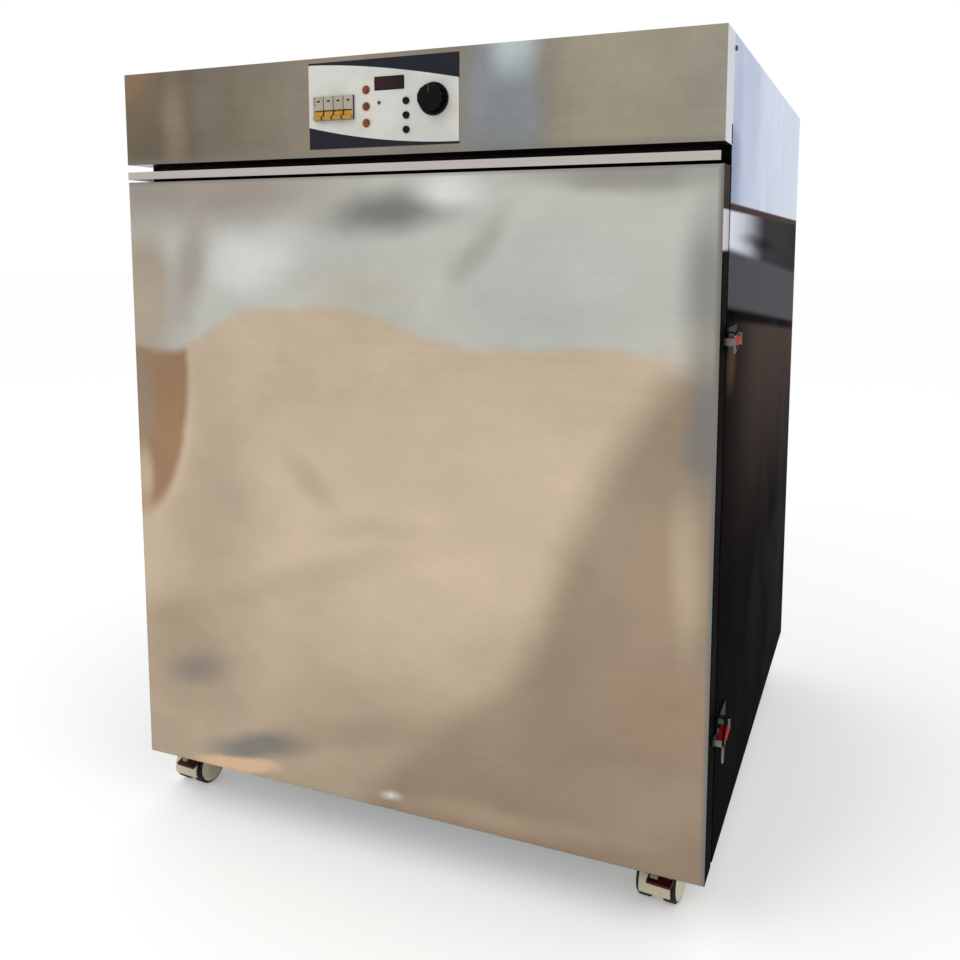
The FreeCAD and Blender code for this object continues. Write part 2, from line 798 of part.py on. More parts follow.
def shelves():
    """Wire racks: a flat-bar frame with round wires from front to rear."""
    x_span = ("room_left + shelf_side_gap", "room_right - shelf_side_gap")
    y_span = ("shelf_front", "shelf_rear")
    outer = box("rack_outer", x_span, y_span, ("0", "shelf_bar_height"))
    bar = "shelf_bar_thickness"
    window = box("rack_window", (f"{x_span[0]} + {bar}", f"{x_span[1]} - {bar}"),
                 (f"{y_span[0]} + {bar}", f"{y_span[1]} - {bar}"),
                 ("-overrun", "shelf_bar_height + overrun"))
    frame = cut("rack_frame", outer, [window])
    wires = []
    for index in range(SHELF_WIRES):
        share = (index + 1) / (SHELF_WIRES + 1)
        x = f"{x_span[0]} + {share} * (room_width - 2 * shelf_side_gap)"
        start = (x, f"shelf_front + {bar} / 2", "shelf_bar_height - 2 * shelf_wire_radius")
        wires.append(rod("rack_wire", "Y", start, f"shelf_rear - shelf_front - {bar}", "shelf_wire_radius"))
    rack = fuse("rack", [frame] + wires)
    racks = []
    for level, share in SHELF_LEVEL_SHARES.items():
        racks.append(copy_of(rack, f"{level}_rack", z=level_height(share)))
    node(group("shelves", racks), "shelves")


def heating_elements():
    """A ring of heater tube round the fan, on two legs that leave through the liner's back."""
    ring = doc.addObject("Part::Torus", "heater_ring")
    ring.Placement.Rotation = ALONG["Y"]
    bind(ring, "Radius1", "heater_ring_radius")
    bind(ring, "Radius2", "heater_tube_radius")
    put(ring, "mid_x", "heater_y", "room_mid_z")
    pieces = [ring]
    for x, z in heater_leg_places():
        start = "heater_y - heater_leg_radius"
        length = f"wool_rear + heater_leg_reach - ({start})"
        pieces.append(rod("heater_leg", "Y", (x, start, z), length, "heater_leg_radius"))
        collar = (x, "room_rear - heater_collar_thickness", z)
        thickness = "heater_collar_thickness"
        pieces.append(rod("heater_collar", "Y", collar, thickness, "heater_collar_radius"))
    node(fuse("heating_elements", pieces), "heating_elements")


def fan_motor():
    """The motor on its plate, with four posts through the insulation to the liner's back."""
    half = "motor_plate / 2"
    wide = (f"mid_x - {half}", f"mid_x + {half}")
    tall = (f"room_mid_z - {half}", f"room_mid_z + {half}")
    plate = box("motor_plate_block", wide, ("wool_rear", "motor_plate_rear"), tall)
    start = ("mid_x", "motor_plate_rear", "room_mid_z")
    can = rod("motor_can", "Y", start, "motor_length", "motor_radius")
    posts = []
    for x, z in motor_post_places():
        posts.append(rod("motor_post", "Y", (x, "liner_rear", z), "insulation", "motor_post_radius"))
    whole = fuse("motor_block", [plate, can] + posts)
    bore = rod("motor_bore", "Y", ("mid_x", "wool_rear - overrun", "room_mid_z"),
               "overrun + motor_plate_thickness + motor_bore_depth + slack", "shaft_radius + running_fit")
    node(cut("fan_motor", whole, [bore]), "fan_motor")


def fan_impeller():
    """A radial fan wheel on the motor's shaft."""
    middle = ("mid_x", "fan_disc_front", "room_mid_z")
    disc = rod("fan_disc", "Y", middle, "fan_disc_thickness", "fan_radius")
    hub = rod("fan_hub", "Y", ("mid_x", "fan_front", "room_mid_z"), "fan_blade_depth", "fan_hub_radius")
    shaft_length = "motor_plate_rear + motor_bore_depth - fan_disc_front"
    shaft = rod("fan_shaft", "Y", middle, shaft_length, "shaft_radius")
    pieces = [disc, hub, shaft]
    for index in range(FAN_BLADES):
        blade = doc.addObject("Part::Box", "fan_blade")
        bind(blade, "Length", "fan_blade_length")
        bind(blade, "Width", "fan_blade_depth + fan_disc_thickness / 2")
        bind(blade, "Height", "fan_blade_thickness")
        angle = FULL_TURN * index / FAN_BLADES
        blade.Placement.Rotation = FreeCAD.Rotation(Y_AXIS, -angle)
        reach = "(fan_radius - fan_blade_length)"
        x = f"mid_x + {reach} * cos({angle})"
        z = f"room_mid_z + {reach} * sin({angle})"
        pieces.append(put(blade, x, "fan_front", z))
    node(fuse("fan_impeller", pieces), "fan_impeller")


def temperature_probe():
    """A sheathed probe that hangs from the deck into the chamber."""
    stem_length = "deck_top - room_top + probe_length"
    tip = ("probe_x", "probe_y", "room_top - probe_length")
    stem = rod("probe_stem", "Z", tip, stem_length, "probe_radius")
    neck = ("probe_x", "probe_y", "deck_top")
    head = rod("probe_head", "Z", neck, "probe_head_height", "probe_head_radius")
    node(fuse("temperature_probe", [stem, head]), "temperature_probe")


# Control fascia

def panel_cutouts(name):
    """What the panel's fittings pass through, in the overlay and the fascia behind it."""
    start = "overlay_front - overrun"
    length = "overlay_thickness + sheet + 2 * overrun"
    deep = (start, "fascia_inner + overrun")
    fit = "panel_fit"

    def window_at(word):
        """A window round the breaker or the display, by the names of its middle and sizes."""
        high = {"breaker": "breaker_window", "display": "display_height"}[word]
        wide = f"({word}_width / 2 + {fit})"
        tall = f"({high} / 2 + {fit})"
        x_span = (f"{word}_mid_x - {wide}", f"{word}_mid_x + {wide}")
        z_span = (f"{word}_mid_z - {tall}", f"{word}_mid_z + {tall}")
        return box(f"{name}_{word}", x_span, deep, z_span)

    holes = [window_at("breaker"), window_at("display")]
    for x, z in lamp_places():
        holes.append(rod(name + "_lamp", "Y", (x, start, z), length, f"lamp_radius + {fit}"))
    for x, z in button_places().values():
        holes.append(rod(name + "_button", "Y", (x, start, z), length, f"button_radius + {fit}"))
    led = ("led_mid_x", start, "led_mid_z")
    holes.append(rod(name + "_led", "Y", led, length, f"led_radius + {fit}"))
    bush = ("knob_mid_x", start, "knob_mid_z")
    holes.append(rod(name + "_bush", "Y", bush, length, f"bush_radius + {fit}"))
    return group(name, holes)


def lamp_places():
    return [("lamp_mid_x", f"lamp_mid_z + {k} * lamp_pitch") for k in (-1, 0, 1)]


def button_places():
    rows = {"upper": 1, "middle": 0, "lower": -1}
    return {row: ("button_mid_x", f"button_mid_z + {k} * button_pitch") for row, k in rows.items()}


def control_fascia():
    """A shallow tray over the door, open at the rear. A slit parts its ends from the side panels."""
    outer = box("fascia_outer", ("left", "right"), ("front", "seam"), ("fascia_bottom", "body_top"))
    inner = box("fascia_room", ("skin_left", "skin_right"), ("fascia_inner", "seam + overrun"),
                ("fascia_bottom + sheet", "body_top - sheet"))
    slit = box("fascia_slit_cut", ("left - overrun", "right + overrun"),
               ("seam - fascia_slit", "seam + overrun"),
               ("fascia_bottom + sheet", "fascia_bottom + fascia_slit_height"))
    tray = cut("control_fascia", outer, [inner, slit, panel_cutouts("fascia_cutouts")])
    node(tray, "control_fascia")


def heat_deflector():
    """The strip between fascia and door: a lip in the front plane and a flange back to the jamb."""
    corners = [
        ("front", "deflector_bottom"),
        ("seam", "deflector_bottom"),
        ("seam", "deflector_bottom + sheet"),
        ("fascia_inner", "deflector_bottom + sheet"),
        ("fascia_inner", "deflector_top"),
        ("front", "deflector_top"),
    ]
    strip = padded("heat_deflector", "YZ", corners, "cabinet_width - deflector_end_gap")
    node(put(strip, x="left"), "heat_deflector")


def panel_overlay():
    plate = box("overlay_plate", ("overlay_left", "overlay_left + overlay_width"),
                ("overlay_front", "front"), ("overlay_bottom", "overlay_bottom + overlay_height"))
    node(cut("panel_overlay", plate, [panel_cutouts("overlay_cutouts")]), "panel_overlay")


def breaker_body():
    """The breaker: a block behind the fascia and a nose through the window, slotted for the toggle."""
    half = "breaker_width / 2"
    wide = (f"breaker_mid_x - {half}", f"breaker_mid_x + {half}")
    tall = "breaker_block_height / 2"
    block = box("breaker_block", wide, ("breaker_shoulder", "jamb_rear"),
                (f"breaker_mid_z - {tall}", f"breaker_mid_z + {tall}"))
    nose = box("breaker_nose", wide, ("breaker_front", "breaker_shoulder"),
               ("breaker_mid_z - breaker_window / 2", "breaker_mid_z + breaker_window / 2"))
    start = "breaker_mid_x - breaker_width / 2 + toggle_end_gap"
    end = "breaker_mid_x + breaker_width / 2 - toggle_end_gap"
    slot = box("toggle_slot", (start, end), ("breaker_front - overrun", "toggle_y"),
               ("toggle_z - toggle_hole_radius", "toggle_z + toggle_hole_radius"))
    length = f"({end}) - ({start})"
    seat = rod("toggle_seat", "X", (start, "toggle_y", "toggle_z"), length, "toggle_hole_radius")
    node(cut("breaker_body", fuse("breaker_whole", [block, nose]), [slot, seat]), "breaker_body")


def breaker_toggle():
    """One paddle for each pole on a common barrel, tied by a bar, tipped down at rest."""
    half = "toggle_length / 2"
    barrel = rod("toggle_barrel", "X", (f"0 - {half}", "0", "0"), "toggle_length", "toggle_radius")
    thick = "toggle_thickness / 2"
    pieces = [barrel]
    for pole in range(BREAKER_POLES):
        middle = f"({pole} - {(BREAKER_POLES - 1) / 2}) * breaker_width / {BREAKER_POLES}"
        wide = (f"{middle} - toggle_width / 2", f"{middle} + toggle_width / 2")
        pieces.append(box("toggle_paddle", wide, ("0 - toggle_reach", "0"), (f"0 - {thick}", thick)))
    tie = box("toggle_tie", (f"0 - {half}", half), ("0 - toggle_reach", "toggle_bar - toggle_reach"),
              (f"0 - {thick}", thick))
    handle = fuse("breaker_toggle", pieces + [tie])
    handle.Placement.Rotation = FreeCAD.Rotation(X_AXIS, 1)
    bind(handle, ".Placement.Rotation.Angle", "toggle_swing")
    node(put(handle, "breaker_mid_x", "toggle_y", "toggle_z"), "breaker_toggle")


def display_window():
    half = "display_width / 2"
    tall = "display_height / 2"
    pane = box("display_window", (f"display_mid_x - {half}", f"display_mid_x + {half}"),
               ("overlay_front - display_proud", "module_front"),
               (f"display_mid_z - {tall}", f"display_mid_z + {tall}"))
    node(pane, "display_window")


def lens(name, x, z, radius, crown):
    """A turned lens that stands on the control module and shows past the overlay."""
    height = "module_front - overlay_front + proud"
    rim = f"{height} - {crown}"
    corners = [("0", "0"), (radius, "0"), (radius, rim), (f"{radius} - {crown}", height), ("0", height)]
    return put(turned(name, "-Y", corners), x, "module_front", z)


def indicator_lamps():
    """Three lamp lenses and the small status light."""
    lenses = [lens("lamp_lens", x, z, "lamp_radius", "lamp_crown") for x, z in lamp_places()]
    lenses.append(lens("status_lens", "led_mid_x", "led_mid_z", "led_radius", "lamp_crown"))
    node(group("indicator_lamps", lenses), "indicator_lamps")


def control_modules():
    """The display and switch module on posts behind the fascia, and the regulator behind the knob."""
    low_x = "lamp_mid_x - lamp_radius - module_margin"
    high_x = "button_mid_x + button_radius + module_margin"
    low_z = "button_mid_z - button_pitch - module_margin"
    high_z = "display_mid_z + display_height / 2 + module_margin"
    deep = ("module_front", "module_front + module_depth")
    board = box("module_board", (low_x, high_x), deep, (low_z, high_z))
    posts = []
    for x in (f"{low_x} + module_post_radius", f"{high_x} - module_post_radius"):
        for z in (f"{low_z} + module_post_radius", f"{high_z} - module_post_radius"):
            start = (x, "fascia_inner", z)
            posts.append(rod("module_post", "Y", start, "module_standoff", "module_post_radius"))
    module = fuse("switch_module", [board] + posts)
    start = ("knob_mid_x", "fascia_inner", "knob_mid_z")
    can = rod("regulator_can", "Y", start, "regulator_depth", "regulator_radius")
    bush = rod("regulator_bush", "Y", ("knob_mid_x", "overlay_front", "knob_mid_z"),
               "overlay_thickness + sheet", "bush_radius")
    bore = rod("regulator_bore", "Y", ("knob_mid_x", "overlay_front - overrun", "knob_mid_z"),
               "overrun + spindle_depth + slack", "spindle_radius + running_fit")
    regulator = cut("regulator", fuse("regulator_block", [can, bush]), [bore])
    node(group("control_modules", [module, regulator]), "control_modules")


def push_button(row):
    """A cap through the panel, with a flange behind the fascia and a stem to the switch."""
    x, z = button_places()[row]
    flange_front = "button_stem_end - button_flange_front"
    flange_rear = "button_stem_end - button_flange_rear"
    top = "button_stem_end - overlay_front + proud"
    corners = [
        ("0", "0"),
        ("button_radius / 2", "0"),
        ("button_radius / 2", flange_rear),
        ("button_radius + button_flange", flange_rear),
        ("button_radius + button_flange", flange_front),
        ("button_radius", flange_front),
        ("button_radius", f"{top} - button_edge"),
        ("button_radius - button_edge", top),
        ("0", top),
    ]
    button = turned(f"button_{row}", "-Y", corners)
    node(put(button, x, "button_stem_end", z), f"button_{row}")


def regulator_knob():
    """A fluted knob with a skirt, pressed on its spindle."""
    grip_top = "knob_skirt + knob_grip_height"
    corners = [
        ("spindle_radius", "0"),
        ("knob_radius", "0"),
        ("knob_radius", "knob_skirt - knob_edge"),
        ("knob_radius - knob_edge", "knob_skirt"),
        ("knob_grip_radius", "knob_skirt"),
        ("knob_grip_radius", f"{grip_top} - knob_edge"),
        ("knob_grip_radius - knob_edge", grip_top),
        ("0", grip_top),
        ("0", f"{grip_top} - knob_skirt"),
        ("spindle_radius", f"{grip_top} - knob_skirt"),
    ]
    cap = turned("knob_cap", "-Y", corners)
    groove_sketch = new_sketch(cap, "knob_flute_outline", "XY")
    circle_shape = Part.Circle(FreeCAD.Vector(1, 0, 0), FreeCAD.Vector(0, 0, 1), 1)
    circle = groove_sketch.addGeometry(circle_shape)
    spread = groove_sketch.addConstraint(Sketcher.Constraint("DistanceX", -1, 1, circle, 3, 1))
    groove_sketch.addConstraint(Sketcher.Constraint("PointOnObject", circle, 3, -1))
    radius = groove_sketch.addConstraint(Sketcher.Constraint("Radius", circle, 1))
    bind(groove_sketch, f"Constraints[{spread}]", "knob_grip_radius + knob_flute_radius / 2")
    bind(groove_sketch, f"Constraints[{radius}]", "knob_flute_radius")
    bind(groove_sketch, ".AttachmentOffset.Base.z", "knob_skirt")
    flute = cap.newObject("PartDesign::Pocket", "knob_flute")
    flute.Profile = groove_sketch
    flute.Reversed = True
    bind(flute, "Length", "knob_grip_height + overrun")
    doc.recompute()
    flutes = cap.newObject("PartDesign::PolarPattern", "knob_flutes")
    flutes.Originals = [flute]
    flutes.Axis = (groove_sketch, ["N_Axis"])
    flutes.Angle = FULL_TURN
    flutes.Occurrences = KNOB_FLUTES
    cap.Tip = flutes
    put(cap, "knob_mid_x", "knob_base", "knob_mid_z")
    start = "knob_base - knob_grip_height"
    length = f"overlay_front + spindle_depth - ({start})"
    spindle = rod("knob_spindle", "Y", ("knob_mid_x", start, "knob_mid_z"), length, "spindle_radius")
    node(group("regulator_knob", [cap, spindle]), "regulator_knob")


# Door

def door_skin():
    """The door's outer tray, open at the rear, with its long front edges bent to a small radius."""
    body = new_body("door_skin")

    def face(sketch):
        rectangle(sketch, ("left", "right"), ("body_bottom", "door_top"))

    pad(body, "door_block", "XZ", face, "door_thickness", reverse=True)
    doc.recompute()
    front_face = body.Tip.Shape.BoundBox.YMin

    def at_front(edge):
        return edge.BoundBox.YMax - front_face < FreeCAD.Base.Precision.confusion()

    rounded(body, "door_bends", at_front, "door_bend_radius")
    room = new_sketch(body, "door_room_outline", "XZ")
    rectangle(room, ("skin_left", "skin_right"), ("body_bottom + sheet", "door_top - sheet"))
    bind(room, ".AttachmentOffset.Base.z", "0 - door_thickness")
    pocket = body.newObject("PartDesign::Pocket", "door_room")
    pocket.Profile = room
    pocket.Reversed = True
    bind(pocket, "Length", "door_thickness - sheet")
    node(put(body, y="front"), "door_skin")


def plug_spans():
    wide = ("room_left + plug_clearance", "room_right - plug_clearance")
    tall = ("room_bottom + plug_clearance", "room_top - plug_clearance")
    return wide, tall


def door_inner_pan():
    """The door's rear sheet, with a shallow plug that enters the chamber's mouth."""
    plate = box("pan_plate", ("skin_left", "skin_right"), ("door_rear - sheet", "door_rear"),
                ("body_bottom + sheet", "door_top - sheet"))
    wide, tall = plug_spans()
    plug = box("pan_plug", wide, ("door_rear", "plug_rear"), tall)
    hollow = box("pan_hollow", (f"{wide[0]} + sheet", f"{wide[1]} - sheet"),
                 ("door_rear - sheet - overrun", "plug_rear - sheet"),
                 (f"{tall[0]} + sheet", f"{tall[1]} - sheet"))
    node(cut("door_inner_pan", fuse("pan_whole", [plate, plug]), [hollow]), "door_inner_pan")


def door_insulation():
    slab = box("door_wool_slab", ("skin_left", "skin_right"), ("fascia_inner", "door_rear - sheet"),
               ("body_bottom + sheet", "door_top - sheet"))
    wide, tall = plug_spans()
    fill = box("door_wool_fill", (f"{wide[0]} + sheet", f"{wide[1]} - sheet"),
               ("fascia_inner", "plug_rear - sheet"), (f"{tall[0]} + sheet", f"{tall[1]} - sheet"))
    node(fuse("door_insulation", [slab, fill]), "door_insulation")


def door_gasket():
    """A square-section ring on the door's rear face, just clear of the jamb when the door is shut."""
    deep = ("door_rear", "seam - slack")
    inset = "gasket_inset"
    reach = "(gasket_inset + gasket_width)"
    outer = box("gasket_outer", (f"room_left - {reach}", f"room_right + {reach}"), deep,
                (f"room_bottom - {reach}", f"room_top + {reach}"))
    inner = box("gasket_inner", (f"room_left - {inset}", f"room_right + {inset}"),
                ("door_rear - overrun", "seam + overrun"),
                (f"room_bottom - {inset}", f"room_top + {inset}"))
    node(cut("door_gasket", outer, [inner]), "door_gasket")


def hinge_leaf(name, plate_span, tab_span, knuckles):
    """The plate of a leaf, and the knuckles and tabs that it carries, about the pin's axis."""
    wall = ("knuckle_radius - hinge_leaf_thickness", "knuckle_radius")
    pieces = [box(name + "_plate", wall, plate_span, ("0 - hinge_height / 2", "hinge_height / 2"))]
    for low, high in knuckles:
        pieces.append(rod(name + "_knuckle", "Z", ("0", "0", low), f"({high}) - ({low})", "knuckle_radius"))
        pieces.append(box(name + "_tab", wall, tab_span, (low, high)))
    return pieces


def door_hinges():
    """Three butt hinges outside the left side. The cabinet's leaves hold the pins."""
    half = "hinge_height / 2"
    sixth = "hinge_height / 6"
    clear = "knuckle_radius + ear_gap"
    far = "seam_gap / 2 + hinge_leaf_width"
    outer = [(f"0 - {half}", f"0 - {sixth}"), (sixth, half)]
    middle = [(f"ear_gap - {sixth}", f"{sixth} - ear_gap")]
    pin = rod("leaf_pin", "Z", ("0", "0", f"0 - {half}"), "hinge_height", "hinge_pin_radius")
    fixed = fuse("fixed_leaf", hinge_leaf("fixed_leaf", (clear, far), ("0", clear), outer) + [pin])
    plate_span = (f"0 - ({far})", f"0 - ({clear})")
    swung_pieces = hinge_leaf("swung_leaf", plate_span, (f"0 - ({clear})", "0"), middle)
    start = ("0", "0", f"0 - {half}")
    bore = rod("leaf_bore", "Z", start, "hinge_height", "hinge_pin_radius + running_fit")
    swung = cut("swung_leaf", fuse("swung_leaf_whole", swung_pieces), [bore])
    heights = {"low": "hinge_low", "mid": "hinge_mid", "high": "hinge_high"}

    def at_each_height(piece, name):
        copies = []
        for level, z in heights.items():
            copies.append(copy_of(piece, f"{name}_{level}", "hinge_x", "hinge_y", z))
        return copies

    node(group("cabinet_hinges", at_each_height(fixed, "fixed_leaf")), "cabinet_hinges")
    node(group("door_hinges", at_each_height(swung, "swung_leaf")), "door_hinges")


# Latches, drawn about the lever's pivot on the cabinet's right side

def latch_base():
    rear_end = "latch_base_length - latch_base_front"
    half = "latch_base_height / 2"
    tall = (f"0 - {half}", half)
    pieces = [box("latch_plate", ("0", "latch_base_thickness"), ("0 - latch_base_front", rear_end), tall)]
    for low, high in (("ear_inner", "ear_outer"), ("0 - ear_outer", "0 - ear_inner")):
        pieces.append(box("latch_ear", ("0", "latch_stand"), ("0 - ear_radius", "ear_radius"), (low, high)))
        pieces.append(rod("latch_ear_round", "Z", ("latch_stand", "0", low), "ear_thickness", "ear_radius"))
    start = ("latch_stand", "0", "0 - ear_outer")
    pieces.append(rod("latch_pin", "Z", start, "2 * ear_outer", "lever_pin_radius"))
    return fuse("latch_base", pieces)


def latch_lever():
    half = "lever_height / 2"
    thick = "lever_thickness / 2"
    start = ("latch_stand", "0", f"0 - {half}")
    barrel = rod("lever_barrel", "Z", start, "lever_height", "lever_barrel_radius")
    wide = (f"latch_stand - {thick}", f"latch_stand + {thick}")
    neck = box("lever_neck_bar", wide, ("0 - lever_neck", "0"), (f"0 - {half}", half))
    tall = "lever_height + 2 * overrun"
    low = f"0 - {half} - overrun"
    pin_place = ("latch_stand", "0", low)
    pin_hole = rod("lever_pin_hole", "Z", pin_place, tall, "lever_pin_radius + running_fit")
    hook_place = ("latch_stand", "0 - hook_arm", low)
    hook_hole = rod("lever_hook_hole", "Z", hook_place, tall, "hook_wire_radius + running_fit")
    return cut("latch_lever", fuse("lever_whole", [barrel, neck]), [pin_hole, hook_hole])


def latch_grip():
    """The plastic grip on the lever's end, with rounded edges."""
    body = new_body("latch_grip")
    half = "lever_height / 2"
    thick = "grip_thickness / 2"

    def section(sketch):
        rectangle(sketch, (f"latch_stand - {thick}", f"latch_stand + {thick}"), (f"0 - {half}", half))

    pad(body, "grip_bar", "XZ", section, "grip_length")
    doc.recompute()
    tip_face = body.Tip.Shape.BoundBox.YMin

    def round_edge(edge):
        at_tip = edge.BoundBox.YMax - tip_face < FreeCAD.Base.Precision.confusion()
        return at_tip or runs_along(edge, Y_AXIS)

    rounded(body, "grip_edges", round_edge, "grip_round")
    return put(body, y="0 - lever_neck")


def latch_hook():
    """A closed link on the lever's cross pin, drawn about that pin and swung clear of the strike."""
    wire = "hook_wire_radius"
    outer = box("hook_outer", (f"0 - {wire}", wire), (f"0 - hook_length - {wire}", wire),
                (f"0 - hook_spread - {wire}", f"hook_spread + {wire}"))
    inner = box("hook_window", ("0 - overrun", "overrun"), (f"{wire} - hook_length", wire + " + overrun"),
                (f"{wire} - hook_spread", f"hook_spread - {wire}"))
    pin = rod("hook_pin", "Z", ("0", "0", "0 - hook_spread"), "2 * hook_spread", wire)
    link = fuse("latch_hook", [cut("hook_frame", outer, [inner]), pin])
    bind(link, ".Placement.Rotation.Angle", "hook_rest_angle")
    return put(link, "latch_stand", "0 - hook_arm")


def latch_strike():
    """A small angle on the door's side that the hook draws against."""
    half = "strike_width / 2"
    foot_end = "strike_front + strike_foot"
    tall = (f"0 - {half}", half)
    foot = box("strike_foot_plate", ("0", "strike_thickness"), ("strike_front", foot_end), tall)
    upright = box("strike_upright", ("0", "strike_height"),
                  ("strike_front", "strike_front + strike_thickness"), tall)
    return fuse("latch_strike", [foot, upright])


def latches():
    """Both latches stand open at rest, levers forward, so the door is free to swing."""
    heights = {"upper": "latch_high", "lower": "latch_low"}

    def on_side(piece, name, z):
        return copy_of(piece, name, "right", "latch_y", z)

    base = latch_base()
    strike = latch_strike()
    lever = latch_lever()
    grip = latch_grip()
    hook = latch_hook()
    bases = [on_side(base, f"{level}_base", z) for level, z in heights.items()]
    strikes = [on_side(strike, f"{level}_strike", z) for level, z in heights.items()]
    node(group("latch_bases", bases), "latch_bases")
    node(group("latch_strikes", strikes), "latch_strikes")
    for level, z in heights.items():
        node(on_side(lever, f"latch_lever_{level}", z), f"latch_lever_{level}")
        node(on_side(grip, f"latch_grip_{level}", z), f"latch_grip_{level}")
        node(on_side(hook, f"latch_hook_{level}", z), f"latch_hook_{level}")


# Casters, drawn about the swivel axis on the floor

def caster_plate():
    half = "caster_plate / 2"
    plate = box("caster_top_plate", (f"0 - {half}", half), (f"0 - {half}", half),
                ("body_bottom - caster_plate_thickness", "body_bottom"))
    stem = rod("caster_stem", "Z", ("0", "0", "stem_bottom"), "caster_stem_length", "caster_stem_radius")
    return fuse("caster_mount", [plate, stem])


def caster_hood(name, with_lug):
    """A core between the wheels and a mudguard over them, with a boss for the stem."""
    width = "2 * hood_half_width"
    start = ("0 - hood_half_width", "wheel_y", "wheel_radius")
    shell = rod(name + "_shell", "X", start, width, "hood_outer_radius")
    height = "boss_top - wheel_radius"
    boss = rod(name + "_boss", "Z", ("0", "0", "wheel_radius"), height, "caster_boss_radius")
    pieces = [shell, boss]
    if with_lug:
        half = "pedal_lug_width / 2"
        rise = "pedal_thickness / 2"
        pieces.append(box(name + "_lug", (f"0 - {half}", half),
                          ("pedal_pin_y - pedal_lug_reach / 2", "wheel_y"),
                          (f"pedal_pin_z - {rise}", f"pedal_pin_z + {rise}")))
    tools = []
    for start in ("caster_core / 2", "0 - hood_half_width - overrun"):
        tools.append(rod(name + "_well", "X", (start, "wheel_y", "wheel_radius"), "hood_overlap + overrun",
                         "hood_inner_radius"))
    reach = "(hood_outer_radius + overrun)"
    tools.append(box(name + "_below", (f"0 - {reach}", reach), (f"wheel_y - {reach}", f"wheel_y + {reach}"),
                     ("wheel_radius - hood_outer_radius - overrun", "hood_floor_gap")))
    tools.append(rod(name + "_stem_bore", "Z", ("0", "0", "stem_bottom - slack"),
                     "caster_stem_length + slack + overrun", "caster_stem_radius + running_fit"))
    start = ("0 - caster_core", "wheel_y", "wheel_radius")
    tools.append(rod(name + "_axle_bore", "X", start, "2 * caster_core", "axle_radius + running_fit"))
    if with_lug:
        tools.append(rod(name + "_pin_bore", "X", ("0 - pedal_lug_width", "pedal_pin_y", "pedal_pin_z"),
                         "2 * pedal_lug_width", "pedal_pin_radius + running_fit"))
    return cut(name, fuse(name + "_whole", pieces), tools)


def caster_wheels():
    """Both wheel discs on their axle, turned as one."""
    flat = f"{CAP_FLAT_SHARE} * disc_radius"
    corners = [
        ("0", "0 - wheel_outer - cap_bulge"),
        (flat, "0 - wheel_outer - cap_bulge"),
        ("disc_radius", "0 - wheel_outer"),
        ("disc_radius", "0 - wheel_inner"),
        ("axle_radius", "0 - wheel_inner"),
        ("axle_radius", "wheel_inner"),
        ("disc_radius", "wheel_inner"),
        ("disc_radius", "wheel_outer"),
        (flat, "wheel_outer + cap_bulge"),
        ("0", "wheel_outer + cap_bulge"),
    ]
    return put(turned("wheel_pair", "X", corners), "0", "wheel_y", "wheel_radius")


def caster_tyres():
    tyres = []
    for side, sign in (("inner", "0 -"), ("outer", "0 +")):
        corners = [
            ("disc_radius", f"{sign} wheel_inner"),
            ("wheel_radius - tyre_round", f"{sign} wheel_inner"),
            ("wheel_radius", f"{sign} (wheel_inner + tyre_round)"),
            ("wheel_radius", f"{sign} (wheel_outer - tyre_round)"),
            ("wheel_radius - tyre_round", f"{sign} wheel_outer"),
            ("disc_radius", f"{sign} wheel_outer"),
        ]
        tyres.append(put(turned(f"{side}_tyre", "X", corners), "0", "wheel_y", "wheel_radius"))
    return group("tyre_pair", tyres)


def brake_pedal():
    """A pedal on a cross pin through the hood's lug, off to one side of it, drawn about the pin."""
    start = "pedal_offset - pedal_width / 2"
    thick = "pedal_thickness / 2"
    across = (start, "pedal_offset + pedal_width / 2")
    bar = box("pedal_bar", across, ("0 - pedal_length", "0"), (f"0 - {thick}", thick))
    barrel = rod("pedal_barrel", "X", (start, "0", "0"), "pedal_width", "pedal_thickness / 2")
    room = "(pedal_lug_width / 2 + ear_gap)"
    slot = box("pedal_slot", (f"0 - {room}", room), ("0 - pedal_lug_reach", "pedal_thickness"),
               ("0 - pedal_thickness", "pedal_thickness"))
    pin = rod("pedal_pin", "X", (start, "0", "0"), "pedal_width", "pedal_pin_radius")
    tread = cut("pedal_tread", fuse("pedal_whole", [bar, barrel]), [slot])
    pedal = fuse("brake_pedal", [tread, pin])
    pedal.Placement.Rotation = FreeCAD.Rotation(X_AXIS, 1)
    bind(pedal, ".Placement.Rotation.Angle", "pedal_angle")
    return put(pedal, "0", "pedal_pin_y", "pedal_pin_z")


def casters():
    """Four swivelling twin-wheel casters. The front pair have brake pedals."""
    corners = {
        "front_left": ("caster_left", "caster_front"),
        "front_right": ("caster_right", "caster_front"),
        "rear_left": ("caster_left", "caster_rear"),
        "rear_right": ("caster_right", "caster_rear"),
    }
    plate = caster_plate()
    hoods = {"front": caster_hood("braked_hood", True), "rear": caster_hood("plain_hood", False)}
    wheels = caster_wheels()
    tyres = caster_tyres()
    pedal = brake_pedal()
    plates = []
    for corner, (x, y) in corners.items():
        def swung(piece, name):
            return copy_of(piece, name, x, y, turn=f"swivel_{corner}")

        plates.append(copy_of(plate, f"plate_{corner}", x, y))
        end = corner.split("_")[0]
        node(swung(hoods[end], f"caster_hood_{corner}"), f"caster_hood_{corner}")
        node(swung(wheels, f"caster_wheels_{corner}"), f"caster_wheels_{corner}")
        node(swung(tyres, f"caster_tyres_{corner}"), f"caster_tyres_{corner}")
        if end == "front":
            node(swung(pedal, f"brake_pedal_{corner}"), f"brake_pedal_{corner}")
    node(group("caster_plates", plates), "caster_plates")


# Fasteners and cable gland

